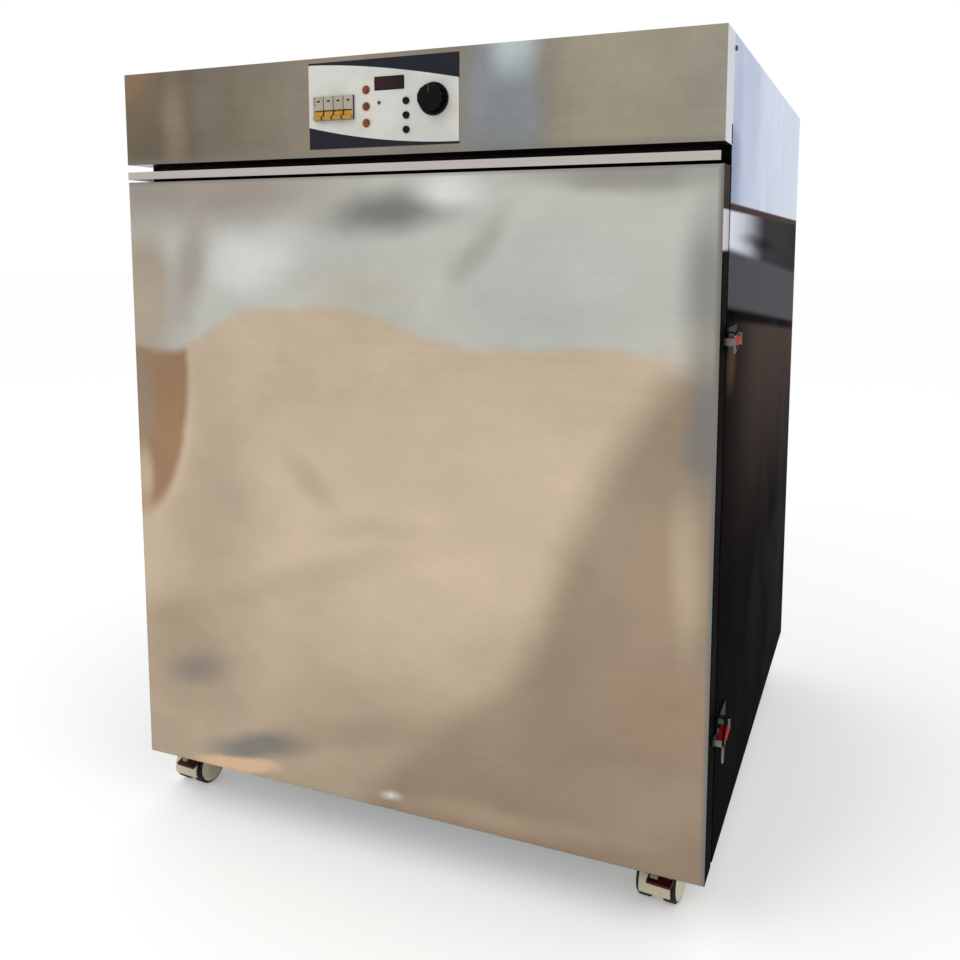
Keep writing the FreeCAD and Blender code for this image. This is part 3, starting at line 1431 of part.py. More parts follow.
def screw(name, axis):
    """A pan-head screw, drawn with the underside of its head at the origin."""
    corners = [
        ("0", "0 - screw_shank_length"),
        ("screw_shank_radius", "0 - screw_shank_length"),
        ("screw_shank_radius", "0"),
        ("screw_head_radius", "0"),
        ("screw_head_radius", "screw_head_height - screw_head_edge"),
        ("screw_head_radius - screw_head_edge", "screw_head_height"),
        ("0", "screw_head_height"),
    ]
    return turned(name, axis, corners)


def housing_screws():
    side_place = ("seam + screw_edge", "body_top - screw_drop")
    screws = [
        put(screw("left_side_screw", "-X"), "left", *side_place),
        put(screw("right_side_screw", "X"), "right", *side_place),
    ]
    back_screw = screw("back_screw", "Y")
    for x, z in back_screw_places():
        screws.append(copy_of(back_screw, "placed_back_screw", x, "rear", z))
    node(group("housing_screws", screws), "housing_screws")


def cable_gland():
    """A gland with a nut inside the back panel and a domed cap outside it."""
    flange = "gland_nut_height"
    corners = [
        ("gland_bore_radius", "0 - sheet - gland_nut_height"),
        ("gland_nut_radius", "0 - sheet - gland_nut_height"),
        ("gland_nut_radius", "0 - sheet"),
        ("gland_thread_radius", "0 - sheet"),
        ("gland_thread_radius", "0"),
        ("gland_nut_radius", "0"),
        ("gland_nut_radius", flange),
        ("gland_dome_radius", flange),
        ("gland_dome_radius", "gland_reach - gland_nut_height"),
        ("gland_bore_radius + sheet", "gland_reach"),
        ("gland_bore_radius", "gland_reach"),
    ]
    gland = turned("cable_gland", "Y", corners)
    node(put(gland, "left + gland_inset", "rear", "body_bottom + gland_inset"), "cable_gland")


def build():
    base_frame()
    bottom_pan()
    side_panel("left")
    side_panel("right")
    top_cover()
    back_panel()
    front_frame()
    chamber_liner()
    chamber_insulation()
    bay_deck()
    baffle_plate()
    shelf_supports()
    shelves()
    heating_elements()
    fan_motor()
    fan_impeller()
    temperature_probe()
    control_fascia()
    heat_deflector()
    panel_overlay()
    breaker_body()
    breaker_toggle()
    display_window()
    indicator_lamps()
    control_modules()
    for row in button_places():
        push_button(row)
    regulator_knob()
    door_skin()
    door_inner_pan()
    door_insulation()
    door_gasket()
    door_hinges()
    latches()
    casters()
    housing_screws()
    cable_gland()


def check():
    """Stops if any object failed or any sub-part's shape is missing or faulty."""
    failed = [thing.Name for thing in doc.Objects if {"Invalid", "Error"} & set(thing.State)]
    faulty = [piece.Label for piece in nodes if piece.Shape.isNull() or not piece.Shape.isValid()]
    if failed or faulty:
        raise RuntimeError(f"failed objects: {failed}, faulty shapes: {faulty}")


def write_parts():
    os.makedirs("parts", exist_ok=True)
    for piece in nodes:
        piece.Shape.exportStep(os.path.join("parts", piece.Label + ".step"))


build()
doc.recompute()
check()
write_parts()
print(len(nodes), "sub-parts written")
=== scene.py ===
"""Looks of the dry heat sterilizer: finishes, small visible detail, camera, light and floor.

Metres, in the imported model's frame. +Z is up and the front faces -Y.
"""
import json
import math

import bmesh
import bpy
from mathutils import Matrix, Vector


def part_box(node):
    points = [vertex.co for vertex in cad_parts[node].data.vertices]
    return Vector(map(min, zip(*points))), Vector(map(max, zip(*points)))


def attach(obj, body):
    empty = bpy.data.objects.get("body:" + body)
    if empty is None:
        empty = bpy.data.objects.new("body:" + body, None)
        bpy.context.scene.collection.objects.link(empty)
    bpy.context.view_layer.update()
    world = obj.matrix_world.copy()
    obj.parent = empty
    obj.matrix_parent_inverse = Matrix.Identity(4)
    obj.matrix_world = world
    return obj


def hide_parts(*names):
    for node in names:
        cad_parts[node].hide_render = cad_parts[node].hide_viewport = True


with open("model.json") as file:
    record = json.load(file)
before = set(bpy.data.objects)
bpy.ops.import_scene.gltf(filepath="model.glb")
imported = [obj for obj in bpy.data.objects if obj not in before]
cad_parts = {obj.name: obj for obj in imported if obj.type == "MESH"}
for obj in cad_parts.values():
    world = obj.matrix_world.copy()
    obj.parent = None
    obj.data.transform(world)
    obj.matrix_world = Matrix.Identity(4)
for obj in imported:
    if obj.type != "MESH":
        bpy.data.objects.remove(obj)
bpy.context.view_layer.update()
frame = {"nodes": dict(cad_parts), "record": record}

scene = bpy.context.scene
nodes = frame["nodes"]
MM = 0.001


def tone(red, green, blue):
    """A display colour, each part from 0 to 255, as linear light."""
    parts = []
    for value in (red, green, blue):
        share = value / 255
        parts.append(((share + 0.055) / 1.055) ** 2.4 if share > 0.04 else share / 12.92)
    return tuple(parts)


# Shader trees

class Paint:
    """A material whose tree grows node by node round one principled shader."""

    def __init__(self, name, **values):
        self.material = bpy.data.materials.new(name)
        self.material.use_nodes = True
        self.tree = self.material.node_tree
        self.tree.nodes.clear()
        self.output = self.tree.nodes.new("ShaderNodeOutputMaterial")
        self.shader = self.tree.nodes.new("ShaderNodeBsdfPrincipled")
        self.tree.links.new(self.shader.outputs[0], self.output.inputs[0])
        for socket, value in values.items():
            self.set(self.shader, socket.replace("_", " "), value)

    def set(self, node, socket, value):
        """Sets a socket to a constant, or links it to another node's output."""
        target = node.inputs[socket]
        if isinstance(value, bpy.types.NodeSocket):
            self.tree.links.new(value, target)
        elif isinstance(value, tuple) and target.type == "RGBA":
            target.default_value = (*value, 1)
        else:
            target.default_value = value

    def add(self, kind, output=0, **sockets):
        """Adds a node, sets its sockets by index or name, and gives one of its outputs."""
        node = self.tree.nodes.new("ShaderNode" + kind)
        for key, value in sockets.pop("props", {}).items():
            setattr(node, key, value)
        for key, value in sockets.items():
            self.set(node, int(key[1:]) if key[0] == "i" and key[1:].isdigit() else key, value)
        return node.outputs[output]

    def place(self):
        return self.add("TexCoord", "Object")

    def axis(self, which):
        split = self.tree.nodes.new("ShaderNodeSeparateXYZ")
        self.tree.links.new(self.place(), split.inputs[0])
        return split.outputs["XYZ".index(which)]

    def math(self, operation, first, second=0.0, clamp=False):
        return self.add("Math", props={"operation": operation, "use_clamp": clamp}, i0=first, i1=second)

    def span(self, value, low, high, to_low=0.0, to_high=1.0, smooth=True):
        """Maps a value from one range to another, clamped, with soft ends."""
        kind = "SMOOTHSTEP" if smooth else "LINEAR"
        node = self.tree.nodes.new("ShaderNodeMapRange")
        node.interpolation_type = kind
        for index, entry in enumerate((value, low, high, to_low, to_high)):
            self.set(node, index, entry)
        return node.outputs[0]

    def noise(self, scale, stretch=(1, 1, 1), detail=3.0, rough=0.5, warp=0.0):
        moved = self.add("Mapping", Vector=self.place(), Scale=stretch)
        return self.add("TexNoise", "Fac", Vector=moved, Scale=scale, Detail=detail, Roughness=rough,
                        Distortion=warp)

    def mix(self, share, first, second, blend="MIX"):
        node = self.tree.nodes.new("ShaderNodeMix")
        node.data_type = "RGBA"
        node.blend_type = blend
        for index, entry in ((0, share), (6, first), (7, second)):
            self.set(node, index, entry)
        return node.outputs[2]

    def curve(self, value, points):
        """A drawn curve over 0 to 1."""
        node = self.tree.nodes.new("ShaderNodeFloatCurve")
        self.set(node, "Value", value)
        line = node.mapping.curves[0]
        line.points[0].location = points[0]
        line.points[1].location = points[-1]
        for point in points[1:-1]:
            line.points.new(*point)
        node.mapping.update()
        return node.outputs[0]

    def wander(self, scale, reach):
        """Object coordinates pulled about by a slow noise, so that what is drawn on them wavers."""
        cloud = self.add("TexNoise", "Color", Vector=self.place(), Scale=scale, Detail=2.0)
        centred = self.add("VectorMath", props={"operation": "SUBTRACT"}, i0=cloud, i1=(0.5, 0.5, 0.5))
        return self.add("VectorMath", props={"operation": "MULTIPLY_ADD"}, i0=centred,
                        i1=(reach, reach, reach), i2=self.place())

    def patch(self, under, vector, colour, middle, size, turn, share, soft):
        """Lays a soft-edged ellipse of colour over another. Its turn is in radians about each axis."""
        near = self.add("Mapping", props={"vector_type": "TEXTURE"}, Vector=vector, Location=middle,
                        Rotation=turn, Scale=size)
        reach = self.add("VectorMath", "Value", props={"operation": "LENGTH"}, i0=near)
        return self.mix(self.span(reach, 1 - soft, 1.0, share, 0.0), under, colour)

    def bump(self, height, strength, distance):
        normal = self.add("Bump", Height=height, Strength=strength, Distance=distance)
        self.set(self.shader, "Normal", normal)

    def colour(self, value):
        self.set(self.shader, "Base Color", value)

    def roughness(self, value):
        self.set(self.shader, "Roughness", value)


FINE_GRAIN = 900.0
COARSE_GRAIN = 160.0
GRAIN_STRETCH = 1.5 / FINE_GRAIN


def grain_of(paint, along):
    """Brushing: fine and coarse streaks drawn out along one axis."""
    stretch = tuple(GRAIN_STRETCH if axis == along else 1 for axis in "XYZ")
    streaks = paint.noise(FINE_GRAIN, stretch, detail=2.0)
    bands = paint.noise(COARSE_GRAIN, stretch, detail=3.0)
    return paint.mix(0.5, streaks, bands)


def steel(name, colour, along, rough=0.3, contrast=0.25, hold=False, metal=None):
    """Brushed stainless sheet: grain in colour, gloss and height, with faint handling smears.

    The colour is plain, or a function that draws it. With hold, the sheet keeps its tone at a flat
    angle. A function for metal draws where the sheet is bright and where it is dulled.
    """
    paint = Paint(name, Metallic=1.0)
    grain = grain_of(paint, along)
    smear = paint.noise(4.0, detail=4.0, warp=0.6)
    shade = paint.span(grain, 0.3, 0.7, 1 - contrast, 1 + contrast / 2, smooth=False)
    haze = paint.span(smear, 0.35, 0.7, 0.95, 1.04)
    light = paint.math("MULTIPLY", shade, haze)
    base = colour(paint) if callable(colour) else colour
    shaded = paint.mix(1.0, base, light, "MULTIPLY")
    paint.colour(shaded)
    if hold:
        paint.set(paint.shader, "Specular Tint", shaded)
    if metal:
        paint.set(paint.shader, "Metallic", metal(paint))
        paint.set(paint.shader, "Specular IOR Level", 0.0)
    worn = paint.span(smear, 0.3, 0.7, -0.05, 0.07)
    paint.roughness(paint.math("ADD", paint.span(grain, 0.3, 0.7, rough - 0.05, rough + 0.06), worn))
    paint.bump(grain, 0.12, 0.00005)
    return paint.material


def moulded(paint, colour, rough):
    """The look of moulded plastic: a fine even texture and slight dirt in its colour."""
    broad = paint.noise(30.0, detail=4.0)
    shade = paint.span(broad, 0.3, 0.7, 0.94, 1.06)
    paint.roughness(paint.span(broad, 0.3, 0.7, rough - 0.05, rough + 0.08))
    paint.bump(paint.noise(900.0, detail=2.0), 0.15, 0.00004)
    return paint.mix(1.0, colour, shade, "MULTIPLY")


def plastic(name, colour, rough, **values):
    paint = Paint(name, **values)
    paint.colour(moulded(paint, colour, rough))
    return paint.material


# Where the main pieces stand
door_low, door_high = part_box("door_skin")
fascia_low, fascia_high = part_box("control_fascia")
overlay_low, overlay_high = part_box("panel_overlay")
panel_low, panel_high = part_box("side_panel_right")
other_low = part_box("side_panel_left")[0]
deflector_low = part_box("heat_deflector")[0]
lamps_low, lamps_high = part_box("indicator_lamps")
breaker_low, breaker_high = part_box("breaker_body")
knob_low, knob_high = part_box("regulator_knob")
display_low, display_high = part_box("display_window")
width = door_high.x - door_low.x

# Depths behind the front sheet: where its bent edge starts and ends
BEND_START = 1.4 * MM
BEND_END = 2.0 * MM
# Depths under a side panel's outer face: where its skin of painted reflection ends, and where it is gone
# and only painted shade is left
SKIN_END = 0.5 * MM
SKIN_GONE = 0.7 * MM
# How bright a dulled wall stays, as a share of full metal
DULLED = 0.12

# Heights over the floor on the door's walls and the side panels: where each painted reflection, painted
# shade and painted highlight begins and is full
WALL_LIFT = (1.0, 1.1)
GLEAM_FOOT = (1.0, 1.006)
GLEAM_HEAD = (1.056, 1.06)
WARM_REFLECTION_RISE = (0.45, 0.88)
DARK_LINE = (0.9, 0.912)
GREY_BAND = (0.918, 0.93)
DUSK = (0.998, 1.012)
BROWN_LINE = (1.055, 1.06)
LIGHT_BAND = (1.066, 1.07)
DIMMED_FRONT = (1.15, 1.19)
# How far the painted reflections of the grey band and the dusk above it sink from the front of a side to
# its back
BAND_DROP = 84 * MM
DUSK_DROP = 55 * MM


# Steel with painted reflections, painted highlights and painted shade, whose tone varies slowly over the
# sheet

PALE = tone(195, 196, 188)
WHITE = tone(222, 224, 220)
COOL = tone(196, 212, 212)
GREY = tone(150, 147, 139)
SLATE = tone(139, 143, 147)
DULL = tone(126, 125, 120)
TAN = tone(202, 183, 159)
LIGHT_TAN = tone(203, 184, 158)
MID_TAN = tone(173, 156, 136)
DEEP_TAN = tone(155, 136, 116)
BROWN = tone(158, 127, 99)
PEACH = tone(226, 192, 162)
SHADOW = tone(26, 23, 22)
WARM_GREY = tone(164, 153, 144)


def dimmed(paint, colour, share):
    """A colour held down, because the pale floor and sky add to what a polished sheet gives back."""
    return paint.mix(1.0, colour, (share, share, share), "MULTIPLY")


def lay(paint, under, low, high, patches, plane="XZ", waver=0.03):
    """Lays patches over a colour. Their middles and sizes are shares of the sheet, their turns degrees."""
    vector = paint.wander(7.0, waver)
    first = "XYZ".index(plane[0])
    span_a = high[first] - low[first]
    span_z = high.z - low.z
    for colour, mid_a, mid_z, wide, tall, turn, share, soft in patches:
        middle = [0.0, 0.0, low.z + mid_z * span_z]
        size = [1000.0, 1000.0, tall * span_z]
        middle[first] = low[first] + mid_a * span_a
        size[first] = wide * span_a
        angle = [0.0, 0.0, 0.0]
        angle[1 - first] = math.radians(-turn if first == 0 else turn)
        under = paint.patch(under, vector, colour, tuple(middle), tuple(size), tuple(angle), share, soft)
    return under


def door_reflection_and_shade_tones(paint):
    """Painted reflections of a room: pale above and tan below a wavy line, with folds, a brown half round
    at the left and dark edges. Painted shade and a painted highlight on the bent walls.
    """
    across = paint.span(paint.axis("X"), door_low.x, door_high.x, smooth=False)
    up = paint.span(paint.axis("Z"), door_low.z, door_high.z, smooth=False)
    # Painted reflection above the wavy line: pale, with white painted highlights and darker patches
    upper = lay(paint, PALE, door_low, door_high, [
        (WARM_GREY, 0.15, 0.985, 0.42, 0.085, 0, 0.9, 0.8),
        (WHITE, 0.25, 0.875, 0.15, 0.07, 8, 0.85, 0.9),
        (TAN, 0.45, 0.83, 0.14, 0.045, -4, 0.4, 0.9),
        (MID_TAN, 0.02, 0.80, 0.09, 0.18, 0, 0.8, 0.6),
        (WARM_GREY, 0.125, 0.855, 0.055, 0.17, -16, 0.8, 0.9),
        (DULL, 0.50, 0.943, 0.17, 0.05, 5, 0.95, 0.9),
        (WHITE, 0.60, 0.972, 0.085, 0.04, -5, 1.0, 0.9),
        (GREY, 0.65, 0.89, 0.03, 0.10, -38, 0.45, 0.9),
        (GREY, 0.86, 0.99, 0.22, 0.035, 0, 0.8, 0.8),
        (WHITE, 0.76, 0.86, 0.16, 0.08, 0, 0.25, 0.9),
        (DULL, 0.985, 0.83, 0.05, 0.2, 0, 0.75, 0.9),
    ])
    # Painted reflection below the wavy line: tan, darker right of a reflected fold, with patches and a
    # small white painted glint near the bottom
    lower = paint.mix(paint.span(up, 0.05, 0.5, 0.6, 0.0), TAN, MID_TAN)
    reflected_fold = paint.curve(up, [(0.0, 0.44), (0.12, 0.54), (0.22, 0.66), (0.28, 0.72), (0.375, 0.755),
                            (0.547, 0.825), (0.695, 0.915), (0.8, 1.0), (1.0, 1.0)])
    beyond = paint.math("SUBTRACT", across, reflected_fold)
    lower = paint.mix(paint.span(beyond, -0.045, 0.05, 0.0, 0.95), lower, DEEP_TAN)
    lower = lay(paint, lower, door_low, door_high, [
        (LIGHT_TAN, 0.55, 0.68, 0.4, 0.07, 2, 0.3, 0.9),
        (MID_TAN, 0.16, 0.45, 0.16, 0.36, 0, 0.75, 0.9),
        (DEEP_TAN, 0.08, 0.2, 0.2, 0.16, 0, 0.5, 0.9),
        (DEEP_TAN, 0.355, 0.52, 0.11, 0.04, -45, 0.32, 0.95),
        (DEEP_TAN, 0.47, 0.455, 0.15, 0.03, 6, 0.25, 0.95),
        (DEEP_TAN, 0.38, 0.375, 0.33, 0.045, 20, 0.3, 0.95),
        (LIGHT_TAN, 0.42, 0.30, 0.25, 0.05, 18, 0.2, 0.9),
        (MID_TAN, 0.62, 0.2, 0.3, 0.14, 25, 0.3, 0.9),
        (DEEP_TAN, 0.45, 0.12, 0.3, 0.05, 12, 0.4, 0.9),
        (DEEP_TAN, 0.06, 0.26, 0.12, 0.05, 5, 0.4, 0.9),
        (GREY, 0.86, 0.50, 0.045, 0.2, -15, 0.2, 0.9),
        (DEEP_TAN, 0.79, 0.33, 0.05, 0.2, -12, 0.7, 0.9),
        (TAN, 0.965, 0.45, 0.035, 0.18, 0, 0.4, 0.9),
        (BROWN, 0.94, 0.24, 0.12, 0.11, 0, 0.2, 0.9),
        (MID_TAN, 0.9, 0.1, 0.2, 0.08, 10, 0.5, 0.9),
        (DULL, 0.11, 0.17, 0.10, 0.045, 15, 0.6, 0.9),
        (DULL, 0.235, 0.055, 0.15, 0.035, 14, 0.85, 0.8),
        (PEACH, 0.19, 0.012, 0.11, 0.02, 8, 0.95, 0.5),
        (LIGHT_TAN, 0.70, 0.03, 0.3, 0.03, 4, 0.25, 0.9),
        (WHITE, 0.497, 0.026, 0.03, 0.012, 0, 0.7, 0.98),
        (WHITE, 0.497, 0.026, 0.007, 0.006, 0, 0.9, 0.7),
        (LIGHT_TAN, -0.01, 0.67, 0.15, 0.265, 0, 0.5, 0.15),
        (BROWN, -0.01, 0.67, 0.13, 0.245, 0, 1.0, 0.14),
        (DEEP_TAN, 0.0, 0.64, 0.055, 0.13, 0, 0.9, 0.7),
        (TAN, 0.005, 0.50, 0.03, 0.08, 0, 0.7, 0.8),
        (DULL, 0.99, 0.66, 0.055, 0.16, 0, 0.9, 0.8),
    ])
    crest = paint.curve(across, [(0.0, 0.727), (0.09, 0.722), (0.13, 0.742), (0.235, 0.797),
                                 (0.31, 0.80), (0.42, 0.795), (0.52, 0.777), (0.625, 0.75),
                                 (0.7, 0.744), (0.81, 0.747), (0.915, 0.75), (0.94, 0.745),
                                 (0.97, 0.745), (1.0, 0.745)])
    wobble = paint.span(paint.noise(9.0, detail=2.0), 0.3, 0.7, -0.006, 0.006)
    above = paint.math("SUBTRACT", up, paint.math("ADD", crest, wobble))
    spread = paint.span(across, 0.9, 0.96, 0.01, 0.06)
    face = paint.mix(paint.span(above, paint.math("MULTIPLY", spread, -1.0), spread), lower, upper)
    cloud = paint.span(paint.noise(5.0, (1, 1, 1.6), detail=5.0, rough=0.6), 0.3, 0.7, 0.94, 1.06)
    face = paint.mix(1.0, face, cloud, "MULTIPLY")
    # Painted dark reflection along the right and top edges
    rim = paint.math("MAXIMUM", paint.span(across, 0.99, 0.999), paint.span(up, 0.992, 0.999, 0.0, 0.5))
    face = paint.mix(rim, face, DULL)
    # Painted shade on the bent walls, lighter higher up, with a band of painted highlight
    wall = paint.span(paint.axis("Y"), door_low.y + BEND_START, door_low.y + BEND_END)
    height = paint.axis("Z")
    gleam = paint.math("MULTIPLY", paint.span(height, *GLEAM_FOOT),
                       paint.span(height, *GLEAM_HEAD, 1.0, 0.0))
    edge = paint.mix(paint.span(height, *WALL_LIFT), tone(22, 19, 18), tone(72, 64, 62))
    edge = paint.mix(gleam, edge, tone(214, 208, 214))
    return paint.mix(wall, dimmed(paint, face, 0.9), edge)


def door_metal(paint):
    """Bright on the face, dulled on the bent walls."""
    return paint.span(paint.axis("Y"), door_low.y + BEND_START, door_low.y + BEND_END, 1.0, DULLED)


def fascia_reflection_and_shade_tones(paint):
    """Painted reflections: beige grey, dull at the left, with a cool bright painted highlight right of the
    panel and pale cool ends.
    """
    across = paint.span(paint.axis("X"), fascia_low.x, fascia_high.x, smooth=False)
    face = paint.mix(paint.span(across, 0.1, 0.4), tone(114, 103, 88), tone(142, 133, 119))
    face = paint.mix(paint.span(across, 0.73, 0.8), face, tone(157, 149, 130))
    face = lay(paint, face, fascia_low, fascia_high, [
        (BROWN, 0.0, 1.0, 0.09, 0.6, 0, 0.6, 0.9),
        (DULL, 0.17, 0.5, 0.05, 1.0, 0, 0.35, 0.9),
        (TAN, 0.10, 0.4, 0.04, 0.8, 0, 0.2, 0.9),
        (SLATE, 0.685, 0.35, 0.085, 1.4, 0, 0.9, 0.6),
        (COOL, 0.705, 1.0, 0.055, 0.5, 0, 0.75, 0.9),
        (DULL, 0.62, 0.0, 0.16, 0.25, 0, 0.5, 0.9),
        (GREY, 0.98, 0.5, 0.06, 1.0, 0, 0.5, 0.9),
    ], waver=0.02)
    blotch = paint.span(paint.noise(14.0, detail=5.0, rough=0.65), 0.3, 0.7, 0.93, 1.06)
    face = paint.mix(1.0, face, blotch, "MULTIPLY")
    # Painted shade, darker towards the bottom edge
    shade = paint.span(paint.axis("Z"), fascia_low.z, fascia_low.z + 16 * MM, 0.5, 0.0)
    face = paint.mix(shade, face, DULL)
    # Painted cool reflection on the two end faces behind the front
    skin = (0.6 * MM, 0.4 * MM)
    sides = paint.math("MAXIMUM",
                       paint.span(paint.axis("X"), *(fascia_low.x + reach for reach in skin)),
                       paint.span(paint.axis("X"), *(fascia_high.x - reach for reach in skin)))
    depth = paint.span(paint.axis("Y"), fascia_low.y + 1.0 * MM, fascia_low.y + BEND_START)
    inside = paint.mix(depth, face, tone(120, 118, 112))
    return paint.mix(paint.math("MULTIPLY", sides, depth), inside, tone(198, 200, 208))


def deflector_tones_with_shade(paint):
    """Pale lip, with painted shade darkening the flange and the ends."""
    flange = paint.span(paint.axis("Y"), deflector_low.y + BEND_START, deflector_low.y + BEND_END)
    return paint.mix(flange, tone(188, 182, 176), SHADOW)


def jamb_tones_with_shade(paint):
    """Bright steel round the opening, with painted shade in the gaps over the door."""
    above = paint.span(paint.axis("Z"), door_high.z - 3 * MM, door_high.z)
    return paint.mix(above, tone(178, 174, 166), SHADOW)


def side_reflection_and_shade_tones(paint):
    """Painted reflections of a room: cool and light at the top, nearly black below, with slanting grey
    bands, a bright patch in front.
    """
    height = paint.axis("Z")
    depth = paint.span(paint.axis("Y"), panel_low.y, panel_high.y, smooth=False)
    light = paint.mix(paint.span(paint.noise(3.0, (1, 1, 0.3), detail=4.0), 0.35, 0.65),
                      tone(226, 232, 243), tone(206, 213, 228))
    near = paint.math("MULTIPLY", paint.span(depth, 0.0, 0.12, 1.0, 0.0),
                      paint.span(height, *DIMMED_FRONT, 0.75, 0.0))
    light = paint.mix(near, light, tone(172, 178, 196))
    lower = paint.mix(paint.span(height, *WARM_REFLECTION_RISE), tone(17, 14, 13), tone(76, 64, 59))
    lower = paint.mix(paint.span(depth, 0.0, 0.4, 0.85, 0.0), lower, tone(18, 16, 16))
    slant = paint.math("ADD", height, paint.math("MULTIPLY", depth, BAND_DROP))
    lower = paint.mix(paint.span(slant, *DARK_LINE), lower, tone(18, 15, 14))
    lower = paint.mix(paint.span(slant, *GREY_BAND), lower, tone(86, 88, 92))
    level = paint.math("ADD", height, paint.math("MULTIPLY", depth, DUSK_DROP))
    dusk = paint.mix(paint.span(depth, 0.0, 0.42), tone(222, 227, 238), tone(60, 60, 64))
    dusk = paint.mix(paint.span(depth, 0.5, 1.0), dusk, tone(46, 45, 48))
    lower = paint.mix(paint.span(level, *DUSK), lower, dusk)
    lower = lay(paint, lower, panel_low, panel_high, [
        (SHADOW, 0.35, 0.765, 0.35, 0.014, -2, 0.6, 0.9),
        (BROWN, 0.05, 0.62, 0.07, 0.05, 0, 0.2, 0.95),
    ], plane="YZ", waver=0.01)
    lower = paint.mix(paint.span(height, *BROWN_LINE), lower, tone(84, 66, 64))
    sheet = paint.mix(paint.span(height, *LIGHT_BAND), lower, light)
    # Painted shade on the folded edges under the outer face
    right = paint.span(paint.axis("X"), panel_high.x - SKIN_GONE, panel_high.x - SKIN_END)
    left = paint.span(paint.axis("X"), other_low.x + SKIN_GONE, other_low.x + SKIN_END)
    return paint.mix(paint.math("MAXIMUM", right, left), tone(12, 11, 11), sheet)


def side_metal(paint):
    """Bright in the top band and dulled below it."""
    return paint.span(paint.axis("Z"), *LIGHT_BAND, DULLED, 1.0)


def overlay_print():
    """An off-white printed panel with two dark tapering bands, and a fine printed texture."""
    paint = Paint("overlay_print", Metallic=0.0, Specular_IOR_Level=0.15)
    across = paint.span(paint.axis("X"), overlay_low.x, overlay_high.x, smooth=False)
    height = paint.axis("Z")

    def taper(share, power, grown, least, inward):
        """A band along one edge, at least so wide, that grows as a power of the share."""
        wide = paint.add("Math", props={"operation": "MULTIPLY_ADD"},
                         i0=paint.math("POWER", share, power), i1=grown, i2=least)
        return paint.span(paint.math("SUBTRACT", wide, inward), -0.2 * MM, 0.2 * MM)

    top_band = taper(across, 1.6, 33 * MM, 3 * MM, paint.math("SUBTRACT", overlay_high.z, height))
    back = paint.math("SUBTRACT", 1.0, across)
    low_band = taper(back, 2.0, 30 * MM, 3.3 * MM, paint.math("SUBTRACT", height, overlay_low.z))
    band = paint.math("MAXIMUM", top_band, low_band)
    fine = paint.noise(700.0, detail=2.0)
    broad = paint.noise(18.0, detail=3.0)
    white = paint.mix(paint.span(broad, 0.3, 0.7), tone(194, 194, 186), tone(207, 207, 201))
    paint.colour(paint.mix(band, white, tone(27, 29, 38)))
    paint.roughness(paint.span(broad, 0.3, 0.7, 0.34, 0.44))
    paint.bump(fine, 0.1, 0.00003)
    return paint.material


def wool():
    paint = Paint("wool", Metallic=0.0)
    fibre = paint.noise(120.0, (1, 1, 4), detail=8.0, rough=0.75, warp=1.5)
    paint.colour(paint.mix(fibre, (0.38, 0.29, 0.12), (0.72, 0.62, 0.36)))
    paint.roughness(0.95)
    paint.bump(fibre, 0.8, 0.002)
    return paint.material


def rubber(name, colour):
    paint = Paint(name, Metallic=0.0, Specular_IOR_Level=0.25)
    dust = paint.noise(45.0, detail=6.0, rough=0.65)
    paint.colour(paint.mix(paint.span(dust, 0.45, 0.75, 0.0, 0.3), colour, tone(84, 80, 74)))
    paint.roughness(paint.span(dust, 0.3, 0.7, 0.62, 0.8))
    paint.bump(paint.noise(800.0, detail=2.0), 0.25, 0.0001)
    return paint.material


def lens():
    """Amber lenses, darker in the middle. The small diode right of them is nearly black."""
    paint = Paint("lamp_lens", Metallic=0.0, Roughness=0.25, Specular_IOR_Level=0.3,
                  Transmission_Weight=0.1)
    radius = (lamps_high.z - lamps_low.z) / 2
    cloud = paint.noise(260.0, detail=3.0)
    amber = paint.mix(paint.span(cloud, 0.35, 0.65), tone(146, 76, 40), tone(98, 48, 26))
    middle = (lamps_low.z + lamps_high.z) / 2
    away = paint.math("ABSOLUTE", paint.math("SUBTRACT", paint.axis("Z"), middle))
    core = paint.span(away, 0.2 * radius, 0.9 * radius, 0.45, 0.2)
    diode_left = (lamps_high.x - 7 * MM, lamps_high.x - 6 * MM)
    small = paint.span(paint.axis("X"), *diode_left)
    amber = paint.mix(core, amber, tone(60, 30, 18))
    paint.colour(paint.mix(small, amber, tone(70, 66, 62)))
    return paint.material


def pane():
    """The display's dark window, deep red at one end."""
    paint = Paint("display_pane", Metallic=0.0, Roughness=0.15, Specular_IOR_Level=0.2,
                  Transmission_Weight=0.05)
    share = paint.span(paint.axis("X"), display_low.x, display_high.x)
    cloud = paint.span(paint.noise(300.0, detail=2.0), 0.3, 0.7, 0.8, 1.2)
    deep = paint.mix(share, tone(46, 6, 13), tone(10, 5, 8))
    paint.colour(paint.mix(1.0, deep, cloud, "MULTIPLY"))
    return paint.material


def knob_shell():
    """Black moulded plastic with one pale pointer line on its face."""
    paint = Paint("knob_shell", Metallic=0.0, Specular_IOR_Level=0.08)
    line_side = (0.5 * MM, 0.7 * MM)
    line_foot = (7.0 * MM, 7.3 * MM)
    line_head = (16.7 * MM, 17.0 * MM)
    line_back = (knob_low.y + 2.0 * MM, knob_low.y + 2.2 * MM)
    middle = (knob_low + knob_high) / 2
    aside = paint.math("ABSOLUTE", paint.math("SUBTRACT", paint.axis("X"), middle.x))
    above = paint.math("SUBTRACT", paint.axis("Z"), middle.z)
    line = paint.span(aside, *line_side, 1.0, 0.0)
    for edge in (paint.span(above, *line_foot),
                 paint.span(above, *line_head, 1.0, 0.0),
                 paint.span(paint.axis("Y"), *line_back, 1.0, 0.0)):
        line = paint.math("MULTIPLY", line, edge)
    black = moulded(paint, tone(8, 8, 9), 0.38)
    paint.colour(paint.mix(line, black, tone(72, 71, 68)))
    return paint.material


